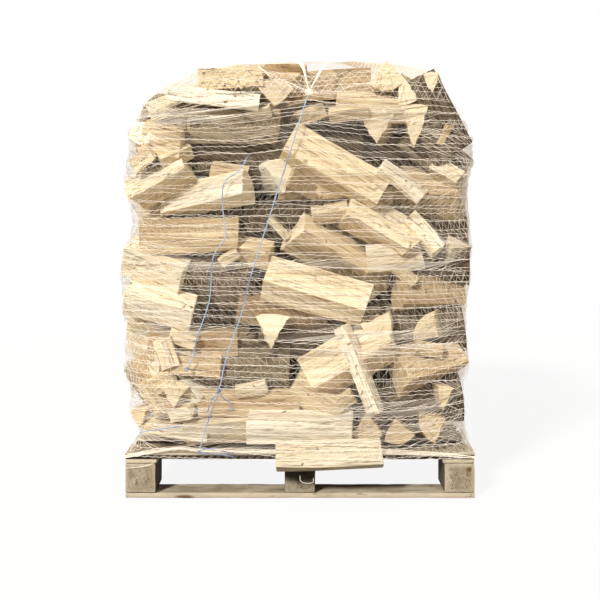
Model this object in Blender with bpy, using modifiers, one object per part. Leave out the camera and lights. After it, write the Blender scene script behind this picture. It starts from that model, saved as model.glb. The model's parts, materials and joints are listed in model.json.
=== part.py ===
"""A pallet of split firewood, held together by a pallet net and blue twine.

Metres, +Z up, the front of the pallet towards -Y. The origin is on the floor, under the middle of the pallet.

The logs are frustums of a split section: a sector of a round trunk, with its bark on the arc. The front layer
is placed by hand and each log leans back until it meets what is behind it. The other sides are filled by the
same leaning, from seeded guesses, and the logs that don't have a node of their own are one heap.
"""

import math
from random import Random
from typing import NamedTuple

import bmesh
import bpy
import numpy as np
from mathutils import Euler, Matrix, Vector

# Pallet
PALLET_SIDE = 1.000
BOARD_THICK = 0.016
DECK_BOARD_WIDTH = 0.122
DECK_BOARDS = 6
BOTTOM_BOARD_WIDTH = 0.100
STRINGER_THICK = 0.014
BLOCK_WIDTH = 0.088
BLOCK_DEPTH = 0.140
BLOCK_HEIGHT = 0.084
STRINGER_WIDTH = 0.092
EDGE_CHAMFER = 0.002
CONTACT_GAP = 0.0003
DECK_TOP = BOARD_THICK + BLOCK_HEIGHT + STRINGER_THICK + BOARD_THICK

# Load
LOAD_TOP = 1.252
WALL = 0.372            # how far from the middle the outer layer of logs leans on the inner ones
CORE = 0.386            # half side of the block that stands for the inner logs
FRONT_WALL = 0.345      # the same two at the front, where the layer is deeper
FRONT_CORE = 0.358
CORE_TOP = 1.085
TOP_WALL = 1.070
REACH = 0.497           # how far out the outer layer goes
SINK = 0.004            # how deep the heap's own logs press into each other
PARTING = 0.0005        # what a front log's own space is larger than the log
BARE = 0.015            # a side is bare where it's no further out than this from its inner logs
LEAST_COVER = 0.003     # square metres of bare side that a log has to cover
CELL = 0.005            # cell of the height maps that find where a log comes to rest
MAP_HALF = 1.40         # half side of the maps

# Net and twine
NET_CLEARANCE = 0.008
NET_SIDES = 12
NET_LEVELS = (0.118, 0.195, 0.320, 0.460, 0.600, 0.740, 0.880, 1.020, 1.130, 1.205, 1.260)
NET_TOP_RINGS = (0.62, 0.28)
NET_CROWN = 0.004
NET_STRAND = 0.0024
TWINE_RADIUS = 0.0016
TWINE_STEP = 0.020      # between the points of a twine's smooth route
# Points that the two lengths of twine pass through, from top to bottom
TWINE_LONG = [
    (0.026, -0.518, 1.160), (0.001, -0.533, 1.084), (-0.027, -0.546, 0.990), (-0.090, -0.548, 0.793),
    (-0.141, -0.549, 0.628), (-0.167, -0.545, 0.526), (-0.192, -0.541, 0.457), (-0.211, -0.538, 0.395),
    (-0.229, -0.533, 0.316), (-0.262, -0.526, 0.220), (-0.288, -0.512, 0.135),
]
TWINE_SHORT = [
    (-0.156, -0.520, 0.960), (-0.178, -0.524, 0.931), (-0.213, -0.527, 0.905), (-0.220, -0.531, 0.847),
    (-0.211, -0.533, 0.752), (-0.236, -0.534, 0.712), (-0.249, -0.534, 0.670), (-0.256, -0.533, 0.570),
    (-0.290, -0.525, 0.467), (-0.302, -0.520, 0.413), (-0.320, -0.516, 0.373),
]

HANGING_LOG = "log_hanging_low"     # hangs in the net, in front of the deck

# Outline of the load that the logs of the sides and the back stay inside
FRONT_REACH = 0.455
SHOULDER = 1.02
SHOULDER_SLOPE = 0.30
CROWN = 1.10            # above this the left side falls away faster
CROWN_SLOPE = 1.1
FOOT = 0.30
FOOT_SLOPE = 0.25
SPOTS = 4               # places looked at for each guess, of which the barest is taken
SIDE_SPANS = ((-0.42, 0.42), (0.17, 1.20))      # where the middle of a log of a side may be, across and up
TOP_SPANS = ((-0.38, 0.38), (-0.36, 0.40))      # the same on top, in X and Y
# Side, seed, how thick the logs are, guesses for each log and most logs
HEAP_FILL = [
    ("front", 3, 1.0, 60, 14),
    ("left", 11, 1.0, 120, 30),
    ("right", 23, 1.0, 120, 30),
    ("back", 37, 1.0, 120, 30),
    ("left", 12, 0.6, 80, 12),
    ("right", 24, 0.6, 80, 12),
    ("back", 38, 0.6, 80, 12),
    ("top", 53, 1.0, 100, 24),
    ("top", 54, 0.6, 60, 8),
]

LEAST_EDGE = 0.00002    # shorter edges, left by the cuts, are removed
NEVER = 9.0             # further out than anything
FLAT = 1e-6             # a face that turns its edge to a side has less of its normal along it


class Log(NamedTuple):
    """One split log. Lengths in metres, angles in degrees."""

    name: str
    across: float       # X of its middle
    height: float       # Z of its middle
    out: float          # the furthest that it stands out from the middle of the pallet
    length: float
    radius: float       # of the trunk it was split from
    opening: float      # angle of the sector
    bark: float         # where the bark faces: 0 front, 90 up, 180 back, 270 down
    tilt: float = 0.0   # right end up
    yaw: float = 0.0    # right end towards the front
    taper: float = 1.0  # size of the right end, of the left end's


# The layer that shows from the front, deepest first. These have a node of their own.
FRONT_LOGS = [
    Log("log_bark_upper_left", -0.205, 1.073, 0.485, 0.290, 0.092, 75, 5, -2, 0, 0.95),
    Log("log_top_left", -0.200, 1.214, 0.478, 0.185, 0.062, 90, 222, 3),
    Log("log_slab_top_left", -0.246, 1.152, 0.508, 0.262, 0.048, 90, 225, -7),
    Log("log_bark_corner_left", -0.372, 1.100, 0.495, 0.200, 0.086, 90, 25, -6, 40),
    Log("log_round_left", -0.402, 1.016, 0.508, 0.180, 0.064, 160, 80, -20, -42),
    Log("log_wedge_left", -0.408, 0.910, 0.512, 0.185, 0.096, 75, 168, 28, 8, 0.9),
    Log("log_dark_middle", -0.045, 0.800, 0.460, 0.230, 0.080, 90, 120, 4),
    Log("log_upright_face", -0.095, 0.905, 0.500, 0.260, 0.100, 66, 90, 4, 70),
    Log("log_under_ridge", 0.055, 0.868, 0.495, 0.240, 0.085, 90, 130, -25, -30),
    Log("log_clean_left", -0.276, 0.864, 0.535, 0.278, 0.080, 90, 150, 10.5, 24),
    Log("log_top_right", 0.222, 1.128, 0.492, 0.235, 0.066, 90, 205, -3),
    Log("log_point_down", 0.252, 1.058, 0.492, 0.270, 0.106, 58, 92, 0, 104),
    Log("log_upright_end", 0.344, 1.050, 0.505, 0.270, 0.118, 42, 94, 6, 98),
    Log("log_top_end_right", 0.272, 1.206, 0.500, 0.280, 0.080, 84, 268, 2, 100),
    Log("log_edge_end_right", 0.334, 1.172, 0.510, 0.260, 0.094, 40, 258, 2, 106),
    Log("log_bark_corner_right", 0.380, 1.090, 0.490, 0.250, 0.105, 90, 15, -62),
    Log("log_shade_right", 0.378, 0.872, 0.505, 0.200, 0.118, 90, 182, -6, 18),
    Log("log_long_ridge", 0.092, 0.934, 0.530, 0.306, 0.094, 90, 158, -29.5),
    Log("log_slab_steep", 0.292, 0.908, 0.540, 0.150, 0.042, 90, 200, -36),
    Log("log_broad_face", 0.220, 0.775, 0.525, 0.200, 0.118, 76, 172, -29),
    Log("log_chunk_right", 0.350, 0.752, 0.525, 0.130, 0.048, 80, 170, -48, 20),
    Log("log_chunk_middle", -0.146, 0.704, 0.505, 0.135, 0.062, 90, 190, -10, 20),
    Log("log_sloping_ridge", 0.120, 0.690, 0.525, 0.325, 0.125, 80, 170, -31, -22),
    Log("log_tan_left", -0.320, 0.760, 0.490, 0.285, 0.088, 100, 215, 3),
    Log("log_pale_left", -0.418, 0.665, 0.515, 0.180, 0.086, 90, 200, -20, 6),
    Log("log_pale_left_lower", -0.404, 0.552, 0.520, 0.200, 0.076, 90, 196, -15, 4),
    Log("log_pale_middle", 0.045, 0.588, 0.545, 0.300, 0.088, 90, 172, -16),
    Log("log_brown_right", 0.378, 0.577, 0.510, 0.205, 0.088, 100, 150, -1, -24),
    Log("log_square_end", 0.252, 0.490, 0.505, 0.250, 0.088, 78, 300, 0, 98),
    Log("log_brown_right_lower", 0.378, 0.372, 0.520, 0.195, 0.115, 84, 168, 14, -20),
    Log("log_point_middle", -0.093, 0.467, 0.505, 0.200, 0.102, 46, 88, 4, 84),
    Log("log_big_face_low", 0.148, 0.388, 0.530, 0.270, 0.120, 78, 178, 29),
    Log("log_leaning_stick", 0.170, 0.374, 0.555, 0.265, 0.046, 80, 195, -68),
    Log("log_pale_low", 0.000, 0.207, 0.530, 0.300, 0.072, 90, 212, 0),
    Log("log_hanging_low", 0.082, 0.124, 0.590, 0.300, 0.076, 90, 160, 1.5),
]

# Logs of the front that belong to the heap, deepest first.
HEAP_FRONT = [
    Log("", -0.190, 0.985, 0.455, 0.280, 0.095, 90, 5, -4),
    Log("", 0.050, 1.010, 0.455, 0.260, 0.090, 100, 200, 0),
    Log("", 0.140, 1.100, 0.455, 0.240, 0.078, 90, 175, 3),
    Log("", 0.085, 1.200, 0.468, 0.250, 0.078, 90, 215, 2),
    Log("", -0.058, 1.205, 0.468, 0.130, 0.080, 90, 190, -6, 20),
    Log("", 0.392, 0.985, 0.465, 0.200, 0.092, 90, 20, -40),
    Log("", -0.120, 0.790, 0.450, 0.280, 0.090, 90, 10, 2),
    Log("", -0.270, 0.640, 0.460, 0.260, 0.110, 110, 5, -8),
    Log("", 0.375, 0.765, 0.455, 0.240, 0.100, 90, 200, -3),
    Log("", 0.380, 0.672, 0.455, 0.230, 0.095, 100, 0, 0),
    Log("", 0.060, 0.805, 0.455, 0.240, 0.085, 90, 60, 8),
    Log("", -0.050, 0.540, 0.465, 0.260, 0.085, 90, 200, -5),
    Log("", 0.020, 0.455, 0.455, 0.280, 0.090, 90, 195, 9),
    Log("", 0.360, 0.480, 0.450, 0.240, 0.100, 100, 0, 3),
    Log("", -0.180, 0.375, 0.465, 0.300, 0.085, 120, 0, -5),
    Log("", -0.310, 0.440, 0.470, 0.260, 0.085, 90, 220, -4),
    Log("", -0.150, 0.278, 0.475, 0.290, 0.075, 90, 220, 1),
    Log("", 0.330, 0.250, 0.450, 0.290, 0.095, 100, 0, 9),
    Log("", -0.435, 0.470, 0.480, 0.140, 0.095, 90, 200, -32, 30),
    Log("", -0.438, 0.395, 0.490, 0.200, 0.085, 90, 140, -20, 55),
    Log("", -0.430, 0.310, 0.490, 0.180, 0.100, 80, 190, -52, 20),
    Log("", -0.360, 0.192, 0.485, 0.180, 0.090, 90, 60, -10),
    Log("", -0.440, 0.222, 0.490, 0.250, 0.055, 60, 90, 0, 100),
    Log("", -0.372, 0.283, 0.500, 0.240, 0.078, 60, 92, 4, 84),
    Log("", -0.302, 0.388, 0.500, 0.150, 0.056, 90, 210, -6),
    Log("", -0.330, 0.322, 0.490, 0.140, 0.066, 80, 200, -42, 20),
    Log("", -0.195, 0.190, 0.485, 0.280, 0.080, 90, 200, 4),
    Log("", 0.055, 0.288, 0.500, 0.160, 0.090, 90, 200, -34),
    Log("", 0.275, 0.672, 0.490, 0.160, 0.085, 90, 150, 6),
    Log("", 0.200, 0.200, 0.490, 0.230, 0.078, 70, 265, 0, 92),
    Log("", 0.297, 0.183, 0.490, 0.240, 0.074, 80, 255, 2, 98),
    Log("", 0.392, 0.205, 0.495, 0.240, 0.078, 80, 330, 0, 96),
    Log("", 0.400, 0.280, 0.490, 0.220, 0.070, 40, 90, 0, 84),
    Log("", 0.405, 0.480, 0.485, 0.210, 0.075, 90, 30, 0, 112),
    Log("", 0.445, 0.640, 0.480, 0.200, 0.080, 60, 30, 60, 60),
    Log("", 0.397, 1.185, 0.490, 0.240, 0.060, 60, 80, 0, 100),
    Log("", -0.090, 1.160, 0.475, 0.240, 0.080, 90, 100, 0, 80),
    Log("", -0.205, 0.937, 0.500, 0.105, 0.048, 80, 200, -12),
    Log("", 0.086, 0.815, 0.500, 0.105, 0.052, 80, 190, 8),
    Log("", 0.318, 0.732, 0.510, 0.095, 0.045, 80, 150, 38),
]


def grown(outline, extra):
    """A convex outline with every side moved out by the same amount."""
    turning = sum(a.cross(b) for a, b in zip(outline, outline[1:] + outline[:1]))
    lines = []
    for a, b in zip(outline, outline[1:] + outline[:1]):
        normal = Vector((b.y - a.y, a.x - b.x)).normalized() * math.copysign(1, turning)
        lines.append((normal, normal.dot(a) + extra))
    corners = []
    for (n1, d1), (n2, d2) in zip(lines[-1:] + lines[:-1], lines):
        corners.append(Vector((d1 * n2.y - d2 * n1.y, n1.x * d2 - n2.x * d1)) / n1.cross(n2))
    return corners


def section(radius, opening, extra=0.0, arc_step=45.0):
    """Outline of a split section around its middle, as (towards the bark, across) pairs."""
    half = math.radians(opening) / 2
    steps = max(1, round(opening / arc_step))
    points = [Vector((0.0, 0.0))]
    for step in range(steps + 1):
        angle = -half + 2 * half * step / steps
        points.append(Vector((radius * math.cos(angle), radius * math.sin(angle))))
    low = Vector([min(p[axis] for p in points) for axis in (0, 1)])
    high = Vector([max(p[axis] for p in points) for axis in (0, 1)])
    middle = (low + high) / 2
    points = [point - middle for point in points]
    return grown(points, extra) if extra else points


def log_corners(log, extra=0.0):
    """Corners of a log around its own middle, turned as it lies: its left end, then its right end."""
    bark = math.radians(log.bark)
    turn = Euler((0, -math.radians(log.tilt), -math.radians(log.yaw))).to_matrix()
    ends = []
    reach = log.length / 2 + extra
    for along, size in ((-reach, 1.0), (reach, log.taper)):
        ring = []
        for out, side in section(log.radius, log.opening, extra):
            front = (out * math.cos(bark) - side * math.sin(bark)) * size
            up = (out * math.sin(bark) + side * math.cos(bark)) * size
            ring.append(turn @ Vector((along, -front, up)))
        ends.append(ring)
    return np.array([tuple(corner) for ring in ends for corner in ring])


def face_planes(corners):
    """Outward normals and offsets of the flat faces of a convex log, from its two end rings."""
    sides = len(corners) // 2
    middle = corners.mean(axis=0)
    normals, offsets = [], []
    faces = [(0, 1, 2), (sides, sides + 1, sides + 2)]
    faces += [(i, (i + 1) % sides, i + sides) for i in range(sides)]
    for a, b, c in faces:
        normal = np.cross(corners[b] - corners[a], corners[c] - corners[a])
        normal /= np.linalg.norm(normal)
        offset = normal @ corners[a]
        if normal @ middle > offset:
            normal, offset = -normal, -offset
        normals.append(normal)
        offsets.append(offset)
    return np.array(normals), np.array(offsets)


class Side:
    """One side of the load: a map of how far out it reaches, over a grid of cells."""

    def __init__(self, across, up, out, wall):
        self.axes = np.array([across, up, out], dtype=float)
        self.wall = wall
        cells = int(2 * MAP_HALF / CELL)
        self.reach = np.full((cells, cells), wall)

    def window(self, corners):
        """Cells under a log, as two slices and the middles of the cells."""
        flat = corners @ self.axes[:2].T
        low = np.floor((flat.min(axis=0) + MAP_HALF) / CELL).astype(int) - 1
        high = np.ceil((flat.max(axis=0) + MAP_HALF) / CELL).astype(int) + 1
        rows = (np.arange(low[0], high[0]) + 0.5) * CELL - MAP_HALF
        columns = (np.arange(low[1], high[1]) + 0.5) * CELL - MAP_HALF
        return slice(low[0], high[0]), slice(low[1], high[1]), rows, columns

    def extents(self, corners, rows, columns):
        """Inner and outer reach of a log over the cells, with NEVER where a cell misses it."""
        normals, offsets = face_planes(corners)
        local = normals @ self.axes.T
        u, v = np.meshgrid(rows, columns, indexing="ij")
        inner = np.full(u.shape, -NEVER)
        outer = np.full(u.shape, NEVER)
        for (a, b, c), offset in zip(local, offsets):
            room = offset - a * u - b * v
            if c > FLAT:
                outer = np.minimum(outer, room / c)
            elif c < -FLAT:
                inner = np.maximum(inner, room / c)
            else:
                outer = np.where(room < 0, -NEVER, outer)
        missed = inner >= outer
        inner[missed] = NEVER
        outer[missed] = -NEVER
        return inner, outer

    def rest(self, corners):
        """How far out a log has to move, from where it is, to rest on this side."""
        rows_slice, columns_slice, rows, columns = self.window(corners)
        inner, _ = self.extents(corners, rows, columns)
        return float((self.reach[rows_slice, columns_slice] - inner).max()) - SINK

    def cover(self, corners):
        """Area of the bare part of this side that a log would cover, and the area of the log's outline."""
        rows_slice, columns_slice, rows, columns = self.window(corners)
        inner, outer = self.extents(corners, rows, columns)
        inside = inner < outer
        bare = inside & (self.reach[rows_slice, columns_slice] < self.wall + BARE)
        return bare.sum() * CELL ** 2, inside.sum() * CELL ** 2

    def add(self, corners):
        """Raises the map to a log that now lies there."""
        rows_slice, columns_slice, rows, columns = self.window(corners)
        _, outer = self.extents(corners, rows, columns)
        here = self.reach[rows_slice, columns_slice]
        np.maximum(here, outer, out=here)


X_AXIS, Y_AXIS, Z_AXIS = (1, 0, 0), (0, 1, 0), (0, 0, 1)
SIDES = {
    "front": Side(X_AXIS, Z_AXIS, (0, -1, 0), FRONT_WALL),
    "left": Side(Y_AXIS, Z_AXIS, (-1, 0, 0), WALL),
    "right": Side(Y_AXIS, Z_AXIS, (1, 0, 0), WALL),
    "back": Side(X_AXIS, Z_AXIS, (0, 1, 0), WALL),
    "top": Side(X_AXIS, Y_AXIS, (0, 0, 1), TOP_WALL),
}
SIDE_TURN = {"front": 0, "left": -90, "right": 90, "back": 180}


def put(corners):
    """Enters a placed log in the map of every side."""
    for side in SIDES.values():
        side.add(corners)


def lean_front(log):
    """Where a log of the front goes: it leans back until it rests, or is pressed in to its furthest reach."""
    corners = log_corners(log)
    place = np.array([log.across, 0.0, log.height])
    if log.name == HANGING_LOG:
        place[1] = -PALLET_SIDE / 2 - CONTACT_GAP - corners[:, 1].max()
        return place
    place[2] = max(log.height, DECK_TOP + CONTACT_GAP - corners[:, 2].min())
    corners = corners + place
    place[1] = -min(SIDES["front"].rest(corners), log.out + float(corners[:, 1].min()))
    return place


def allowed(corners):
    """True where a log of the sides stays inside the rounded outline of the load."""
    x, y, z = np.abs(corners[:, 0]), corners[:, 1], corners[:, 2]
    narrowing = np.maximum(0.0, z - SHOULDER) * SHOULDER_SLOPE + np.maximum(0.0, FOOT - z) * FOOT_SLOPE
    left = corners[:, 0] - np.maximum(0.0, z - CROWN) * CROWN_SLOPE
    return bool(
        z.min() > DECK_TOP + CONTACT_GAP
        and z.max() < LOAD_TOP
        and (x + narrowing).max() < REACH
        and left.min() > -REACH
        and (y + narrowing).max() < REACH
        and y.min() > -FRONT_REACH
    )


def guess(random, name, thick):
    """A seeded guess of a log for a side, over a bare spot of it, before it comes to rest."""
    kind = random.random()
    tilt = random.gauss(0, 15)
    yaw = random.gauss(0, 8)
    if kind < 0.20:
        yaw = random.choice((-1, 1)) * random.uniform(68, 90)
    elif kind < 0.36:
        tilt = random.choice((-1, 1)) * random.uniform(30, 70)
    length = random.uniform(0.24, 0.30)
    radius = random.uniform(0.062, 0.112) * thick
    opening = random.uniform(62, 110)
    bark = random.uniform(0, 360)
    taper = random.uniform(0.88, 1.0)
    corners = log_corners(Log("", 0, 0, 0, length, radius, opening, bark, tilt, yaw, taper))
    side = SIDES[name]
    spots = []
    for _ in range(SPOTS):
        spot = [random.uniform(*span) for span in (TOP_SPANS if name == "top" else SIDE_SPANS)]
        row, column = (int((value + MAP_HALF) / CELL) for value in spot)
        spots.append((side.reach[row, column], spot))
    across, up = min(spots)[1]
    if name == "top":
        turn = Matrix.Rotation(random.uniform(0, math.pi), 3, "Z")
        place = np.array([across, up, 0])
    else:
        turn = Matrix.Rotation(math.radians(SIDE_TURN[name]), 3, "Z")
        place = side.axes[0] * across + np.array([0, 0, up])
    return corners @ np.array(turn).T + place


def fill_side(name, seed, thick, tries, count):
    """Logs that fill a side, each the one of a number of guesses that covers the bare spots best."""
    random = Random(seed)
    side = SIDES[name]
    out = side.axes[2]
    placed = []
    for _ in range(count):
        best = None
        for _ in range(tries):
            corners = guess(random, name, thick)
            corners = corners + out * side.rest(corners)
            if allowed(corners):
                bare, outline = side.cover(corners)
                gain = bare / outline ** 0.7
                if bare > LEAST_COVER and (best is None or gain > best[0]):
                    best = (gain, corners)
        if best is not None:
            placed.append(best[1])
            put(best[1])
    return placed


def heap_logs():
    """Corners of every log that has no node of its own."""
    placed = []
    for log in HEAP_FRONT:
        corners = log_corners(log) + lean_front(log)
        put(corners)
        placed.append(corners)
    for name, seed, thick, tries, count in HEAP_FILL:
        placed += fill_side(name, seed, thick, tries, count)
    return placed


def collection(name):
    """A new collection in the scene."""
    made = bpy.data.collections.new(name)
    bpy.context.scene.collection.children.link(made)
    return made


def material(name, colour, roughness, metallic=0.0):
    """A Principled material."""
    made = bpy.data.materials.new(name)
    made.use_nodes = True
    shader = made.node_tree.nodes["Principled BSDF"]
    shader.inputs["Base Color"].default_value = (*colour, 1.0)
    shader.inputs["Roughness"].default_value = roughness
    shader.inputs["Metallic"].default_value = metallic
    return made


def mesh_object(name, bm, group, finish):
    """An object from a finished bmesh."""
    bmesh.ops.recalc_face_normals(bm, faces=bm.faces[:])
    mesh = bpy.data.meshes.new(name)
    bm.to_mesh(mesh)
    bm.free()
    made = bpy.data.objects.new(name, mesh)
    made.data.materials.append(finish)
    group.objects.link(made)
    return made


def guide(name, bm, group, finish):
    """A cutter or a log to unite, which isn't a part itself."""
    made = mesh_object(name, bm, group, finish)
    made.hide_render = True
    made.display_type = "WIRE"
    return made


def board(name, size, place, group, finish):
    """A sawn board or block with eased edges, from its size and its middle."""
    bm = bmesh.new()
    bmesh.ops.create_cube(bm, size=1.0)
    bmesh.ops.scale(bm, vec=size, verts=bm.verts[:])
    made = mesh_object(name, bm, group, finish)
    made.location = place
    ease = made.modifiers.new("eased edges", "BEVEL")
    ease.width = EDGE_CHAMFER
    ease.segments = 1
    return made


def build_pallet(group):
    """Three bottom boards, nine blocks, three stringers and the deck boards."""
    finish = material("weathered_pallet_wood", (0.40, 0.32, 0.22), 0.85)
    ends = PALLET_SIDE / 2
    rows = {"front": -1, "middle": 0, "back": 1}
    columns = {"left": -1, "middle": 0, "right": 1}
    stringer_z = BOARD_THICK + BLOCK_HEIGHT
    deck_z = stringer_z + STRINGER_THICK
    for row, y_side in rows.items():
        board_y = y_side * (ends - BOTTOM_BOARD_WIDTH / 2)
        size = (PALLET_SIDE, BOTTOM_BOARD_WIDTH, BOARD_THICK - CONTACT_GAP)
        board(f"bottom_board_{row}", size, (0, board_y, size[2] / 2), group, finish)
        block_y = y_side * (ends - BLOCK_DEPTH / 2)
        size = (BLOCK_WIDTH, BLOCK_DEPTH, BLOCK_HEIGHT - CONTACT_GAP)
        for column, x_side in columns.items():
            place = (x_side * (ends - BLOCK_WIDTH / 2), block_y, BOARD_THICK + size[2] / 2)
            board(f"block_{row}_{column}", size, place, group, finish)
    size = (STRINGER_WIDTH, PALLET_SIDE, STRINGER_THICK - CONTACT_GAP)
    for column, x_side in columns.items():
        place = (x_side * (ends - STRINGER_WIDTH / 2), 0, stringer_z + size[2] / 2)
        board(f"stringer_{column}", size, place, group, finish)
    size = (PALLET_SIDE, DECK_BOARD_WIDTH, BOARD_THICK)
    step = (PALLET_SIDE - DECK_BOARD_WIDTH) / (DECK_BOARDS - 1)
    for number in range(DECK_BOARDS):
        place = (0, -ends + DECK_BOARD_WIDTH / 2 + step * number, deck_z + BOARD_THICK / 2)
        board(f"deck_board_{number + 1}", size, place, group, finish)


def log_mesh(corners):
    """A bmesh of one log: its left end, extruded and moved to its right end."""
    sides = len(corners) // 2
    bm = bmesh.new()
    left = [bm.verts.new(corner) for corner in corners[:sides]]
    face = bm.faces.new(left)
    extruded = bmesh.ops.extrude_face_region(bm, geom=[face], use_keep_orig=True)["geom"]
    right = [part for part in extruded if isinstance(part, bmesh.types.BMFace)][0]
    for vert in right.verts:
        nearest = min(range(sides), key=lambda index: (Vector(corners[index]) - vert.co).length)
        vert.co = corners[sides + nearest]
    return bm


def keep_largest_body(made):
    """Applies an object's Booleans and keeps its largest body, without slivers or sealed hollows."""
    graph = bpy.context.evaluated_depsgraph_get()
    bm = bmesh.new()
    bm.from_mesh(made.evaluated_get(graph).data)
    bmesh.ops.dissolve_degenerate(bm, dist=LEAST_EDGE, edges=bm.edges[:])
    unseen = set(bm.faces)
    bodies = []
    while unseen:
        body = set()
        waiting = [unseen.pop()]
        while waiting:
            face = waiting.pop()
            body.add(face)
            for edge in face.edges:
                for other in edge.link_faces:
                    if other in unseen:
                        unseen.remove(other)
                        waiting.append(other)
        bodies.append(body)
    bodies.sort(key=lambda body: sum(face.calc_area() for face in body))
    spare = [face for body in bodies[:-1] for face in body]
    bmesh.ops.delete(bm, geom=spare, context="FACES")
    made.modifiers.clear()
    bm.to_mesh(made.data)
    bm.free()


def subtract(made, cutters, group):
    """Cuts a collection of guides out of an object."""
    cut = made.modifiers.new(group.name, "BOOLEAN")
    cut.operation = "DIFFERENCE"
    cut.operand_type = "COLLECTION"
    cut.collection = group
    cut.solver = "EXACT"
    for cutter in cutters:
        group.objects.link(cutter)


def build_heap(placed, cutters, group):
    """The heap as one solid: the block of the inner logs with its outer logs united to it."""
    finish = material("split_wood", (0.72, 0.55, 0.34), 0.8)
    bm = bmesh.new()
    bmesh.ops.create_cube(bm, size=1.0)
    bottom = DECK_TOP + CONTACT_GAP
    size = (2 * CORE, CORE + FRONT_CORE, CORE_TOP - bottom)
    bmesh.ops.scale(bm, vec=size, verts=bm.verts[:])
    bmesh.ops.translate(bm, vec=(0, (CORE - FRONT_CORE) / 2, bottom + size[2] / 2), verts=bm.verts[:])
    heap = mesh_object("log_pile", bm, group, finish)
    united = collection("logs_to_unite")
    for number, corners in enumerate(placed):
        guide(f"guide_log_{number + 1:03d}", log_mesh(corners), united, finish)
    unite = heap.modifiers.new("outer logs", "BOOLEAN")
    unite.operation = "UNION"
    unite.operand_type = "COLLECTION"
    unite.collection = united
    unite.solver = "EXACT"
    subtract(heap, cutters, collection("cut_from_heap"))
    keep_largest_body(heap)


def boxes_meet(one, other):
    """True where the boxes around two logs share some space."""
    boxes = []
    for made in (one, other):
        corners = np.array([tuple(vert.co) for vert in made.data.vertices])
        boxes.append((corners.min(axis=0), corners.max(axis=0)))
    (low, high), (other_low, other_high) = boxes
    return bool((low < other_high).all() and (other_low < high).all())


def build_front(group, guides):
    """The front logs with a node of their own. Each gives way to the ones listed after it."""
    finish = material("pale_split_wood", (0.80, 0.64, 0.40), 0.75)
    logs, cutters = [], []
    for log in FRONT_LOGS:
        place = lean_front(log)
        put(log_corners(log) + place)
        logs.append(mesh_object(log.name, log_mesh(log_corners(log) + place), group, finish))
        space = log_mesh(log_corners(log, PARTING) + place)
        cutters.append(guide(f"space_of_{log.name}", space, guides, finish))
    for number, made in enumerate(logs[:-1]):
        meeting = [cutter for cutter in cutters[number + 1:] if boxes_meet(made, cutter)]
        subtract(made, meeting, collection(f"cut_from_{made.name}"))
    for made in logs:
        keep_largest_body(made)
    return cutters


def edge_points(corners, steps=16):
    """Points along the long edges of a log."""
    sides = len(corners) // 2
    share = np.linspace(0, 1, steps)[:, None, None]
    return (corners[:sides] * (1 - share) + corners[sides:] * share).reshape(-1, 3)


def net_ring(points, low, high):
    """Corners of the net around everything between two heights."""
    inside = points[(points[:, 2] >= low) & (points[:, 2] <= high)][:, :2]
    angles = [2 * math.pi * side / NET_SIDES for side in range(NET_SIDES)]
    normals = np.array([(math.cos(angle), math.sin(angle)) for angle in angles])
    reach = (inside @ normals.T).max(axis=0) + NET_CLEARANCE
    ring = []
    for side in range(NET_SIDES):
        pair = [side, (side + 1) % NET_SIDES]
        ring.append(np.linalg.solve(normals[pair], reach[pair]))
    return ring


def build_net(points, group):
    """The net as a coarse closed lattice around the load, closed over the top."""
    finish = material("net_strand", (0.88, 0.85, 0.84), 0.5)
    bm = bmesh.new()
    rings = []
    bounds = [0.0, *NET_LEVELS, 2.0]
    for below, height, above in zip(bounds, NET_LEVELS, bounds[2:]):
        ring = net_ring(points, below, above)
        rings.append([bm.verts.new((x, y, height)) for x, y in ring])
    top = rings[-1]
    middle = sum((vert.co.xy for vert in top), Vector((0.0, 0.0))) / NET_SIDES
    for inward in NET_TOP_RINGS:
        height = NET_LEVELS[-1] + NET_CROWN * (1 - inward)
        rings.append([bm.verts.new((*middle.lerp(vert.co.xy, inward), height)) for vert in top])
    for lower, upper in zip(rings, rings[1:]):
        for side in range(NET_SIDES):
            after = (side + 1) % NET_SIDES
            bm.faces.new((lower[side], lower[after], upper[after], upper[side]))
    bm.faces.new(rings[-1])
    net = mesh_object("net", bm, group, finish)
    strands = net.modifiers.new("strands", "WIREFRAME")
    strands.thickness = NET_STRAND
    strands.use_replace = True
    strands.use_boundary = True
    strands.use_even_offset = False


def smooth_route(route, step):
    """Points about a step apart on the smooth curve through the points of a route."""
    places = [Vector(place) for place in route]
    ends = [2 * places[0] - places[1], 2 * places[-1] - places[-2]]
    places = [ends[0], *places, ends[1]]
    points = []
    for before, start, end, after in zip(places, places[1:], places[2:], places[3:]):
        count = max(1, round((end - start).length / step))
        for number in range(count):
            t = number / count
            bend = (end - before) * t + (2 * before - 5 * start + 4 * end - after) * t ** 2
            points.append(start + (bend + (3 * start - before - 3 * end + after) * t ** 3) / 2)
    points.append(places[-2])
    return points


def build_twine(name, route, group, finish):
    """A length of twine along its route."""
    curve = bpy.data.curves.new(name, "CURVE")
    curve.dimensions = "3D"
    curve.bevel_depth = TWINE_RADIUS
    curve.bevel_resolution = 2
    curve.use_fill_caps = True
    places = smooth_route(route, TWINE_STEP)
    spline = curve.splines.new("POLY")
    spline.points.add(len(places) - 1)
    for point, place in zip(spline.points, places):
        point.co = (*place, 1.0)
    made = bpy.data.objects.new(name, curve)
    curve.materials.append(finish)
    group.objects.link(made)


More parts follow.
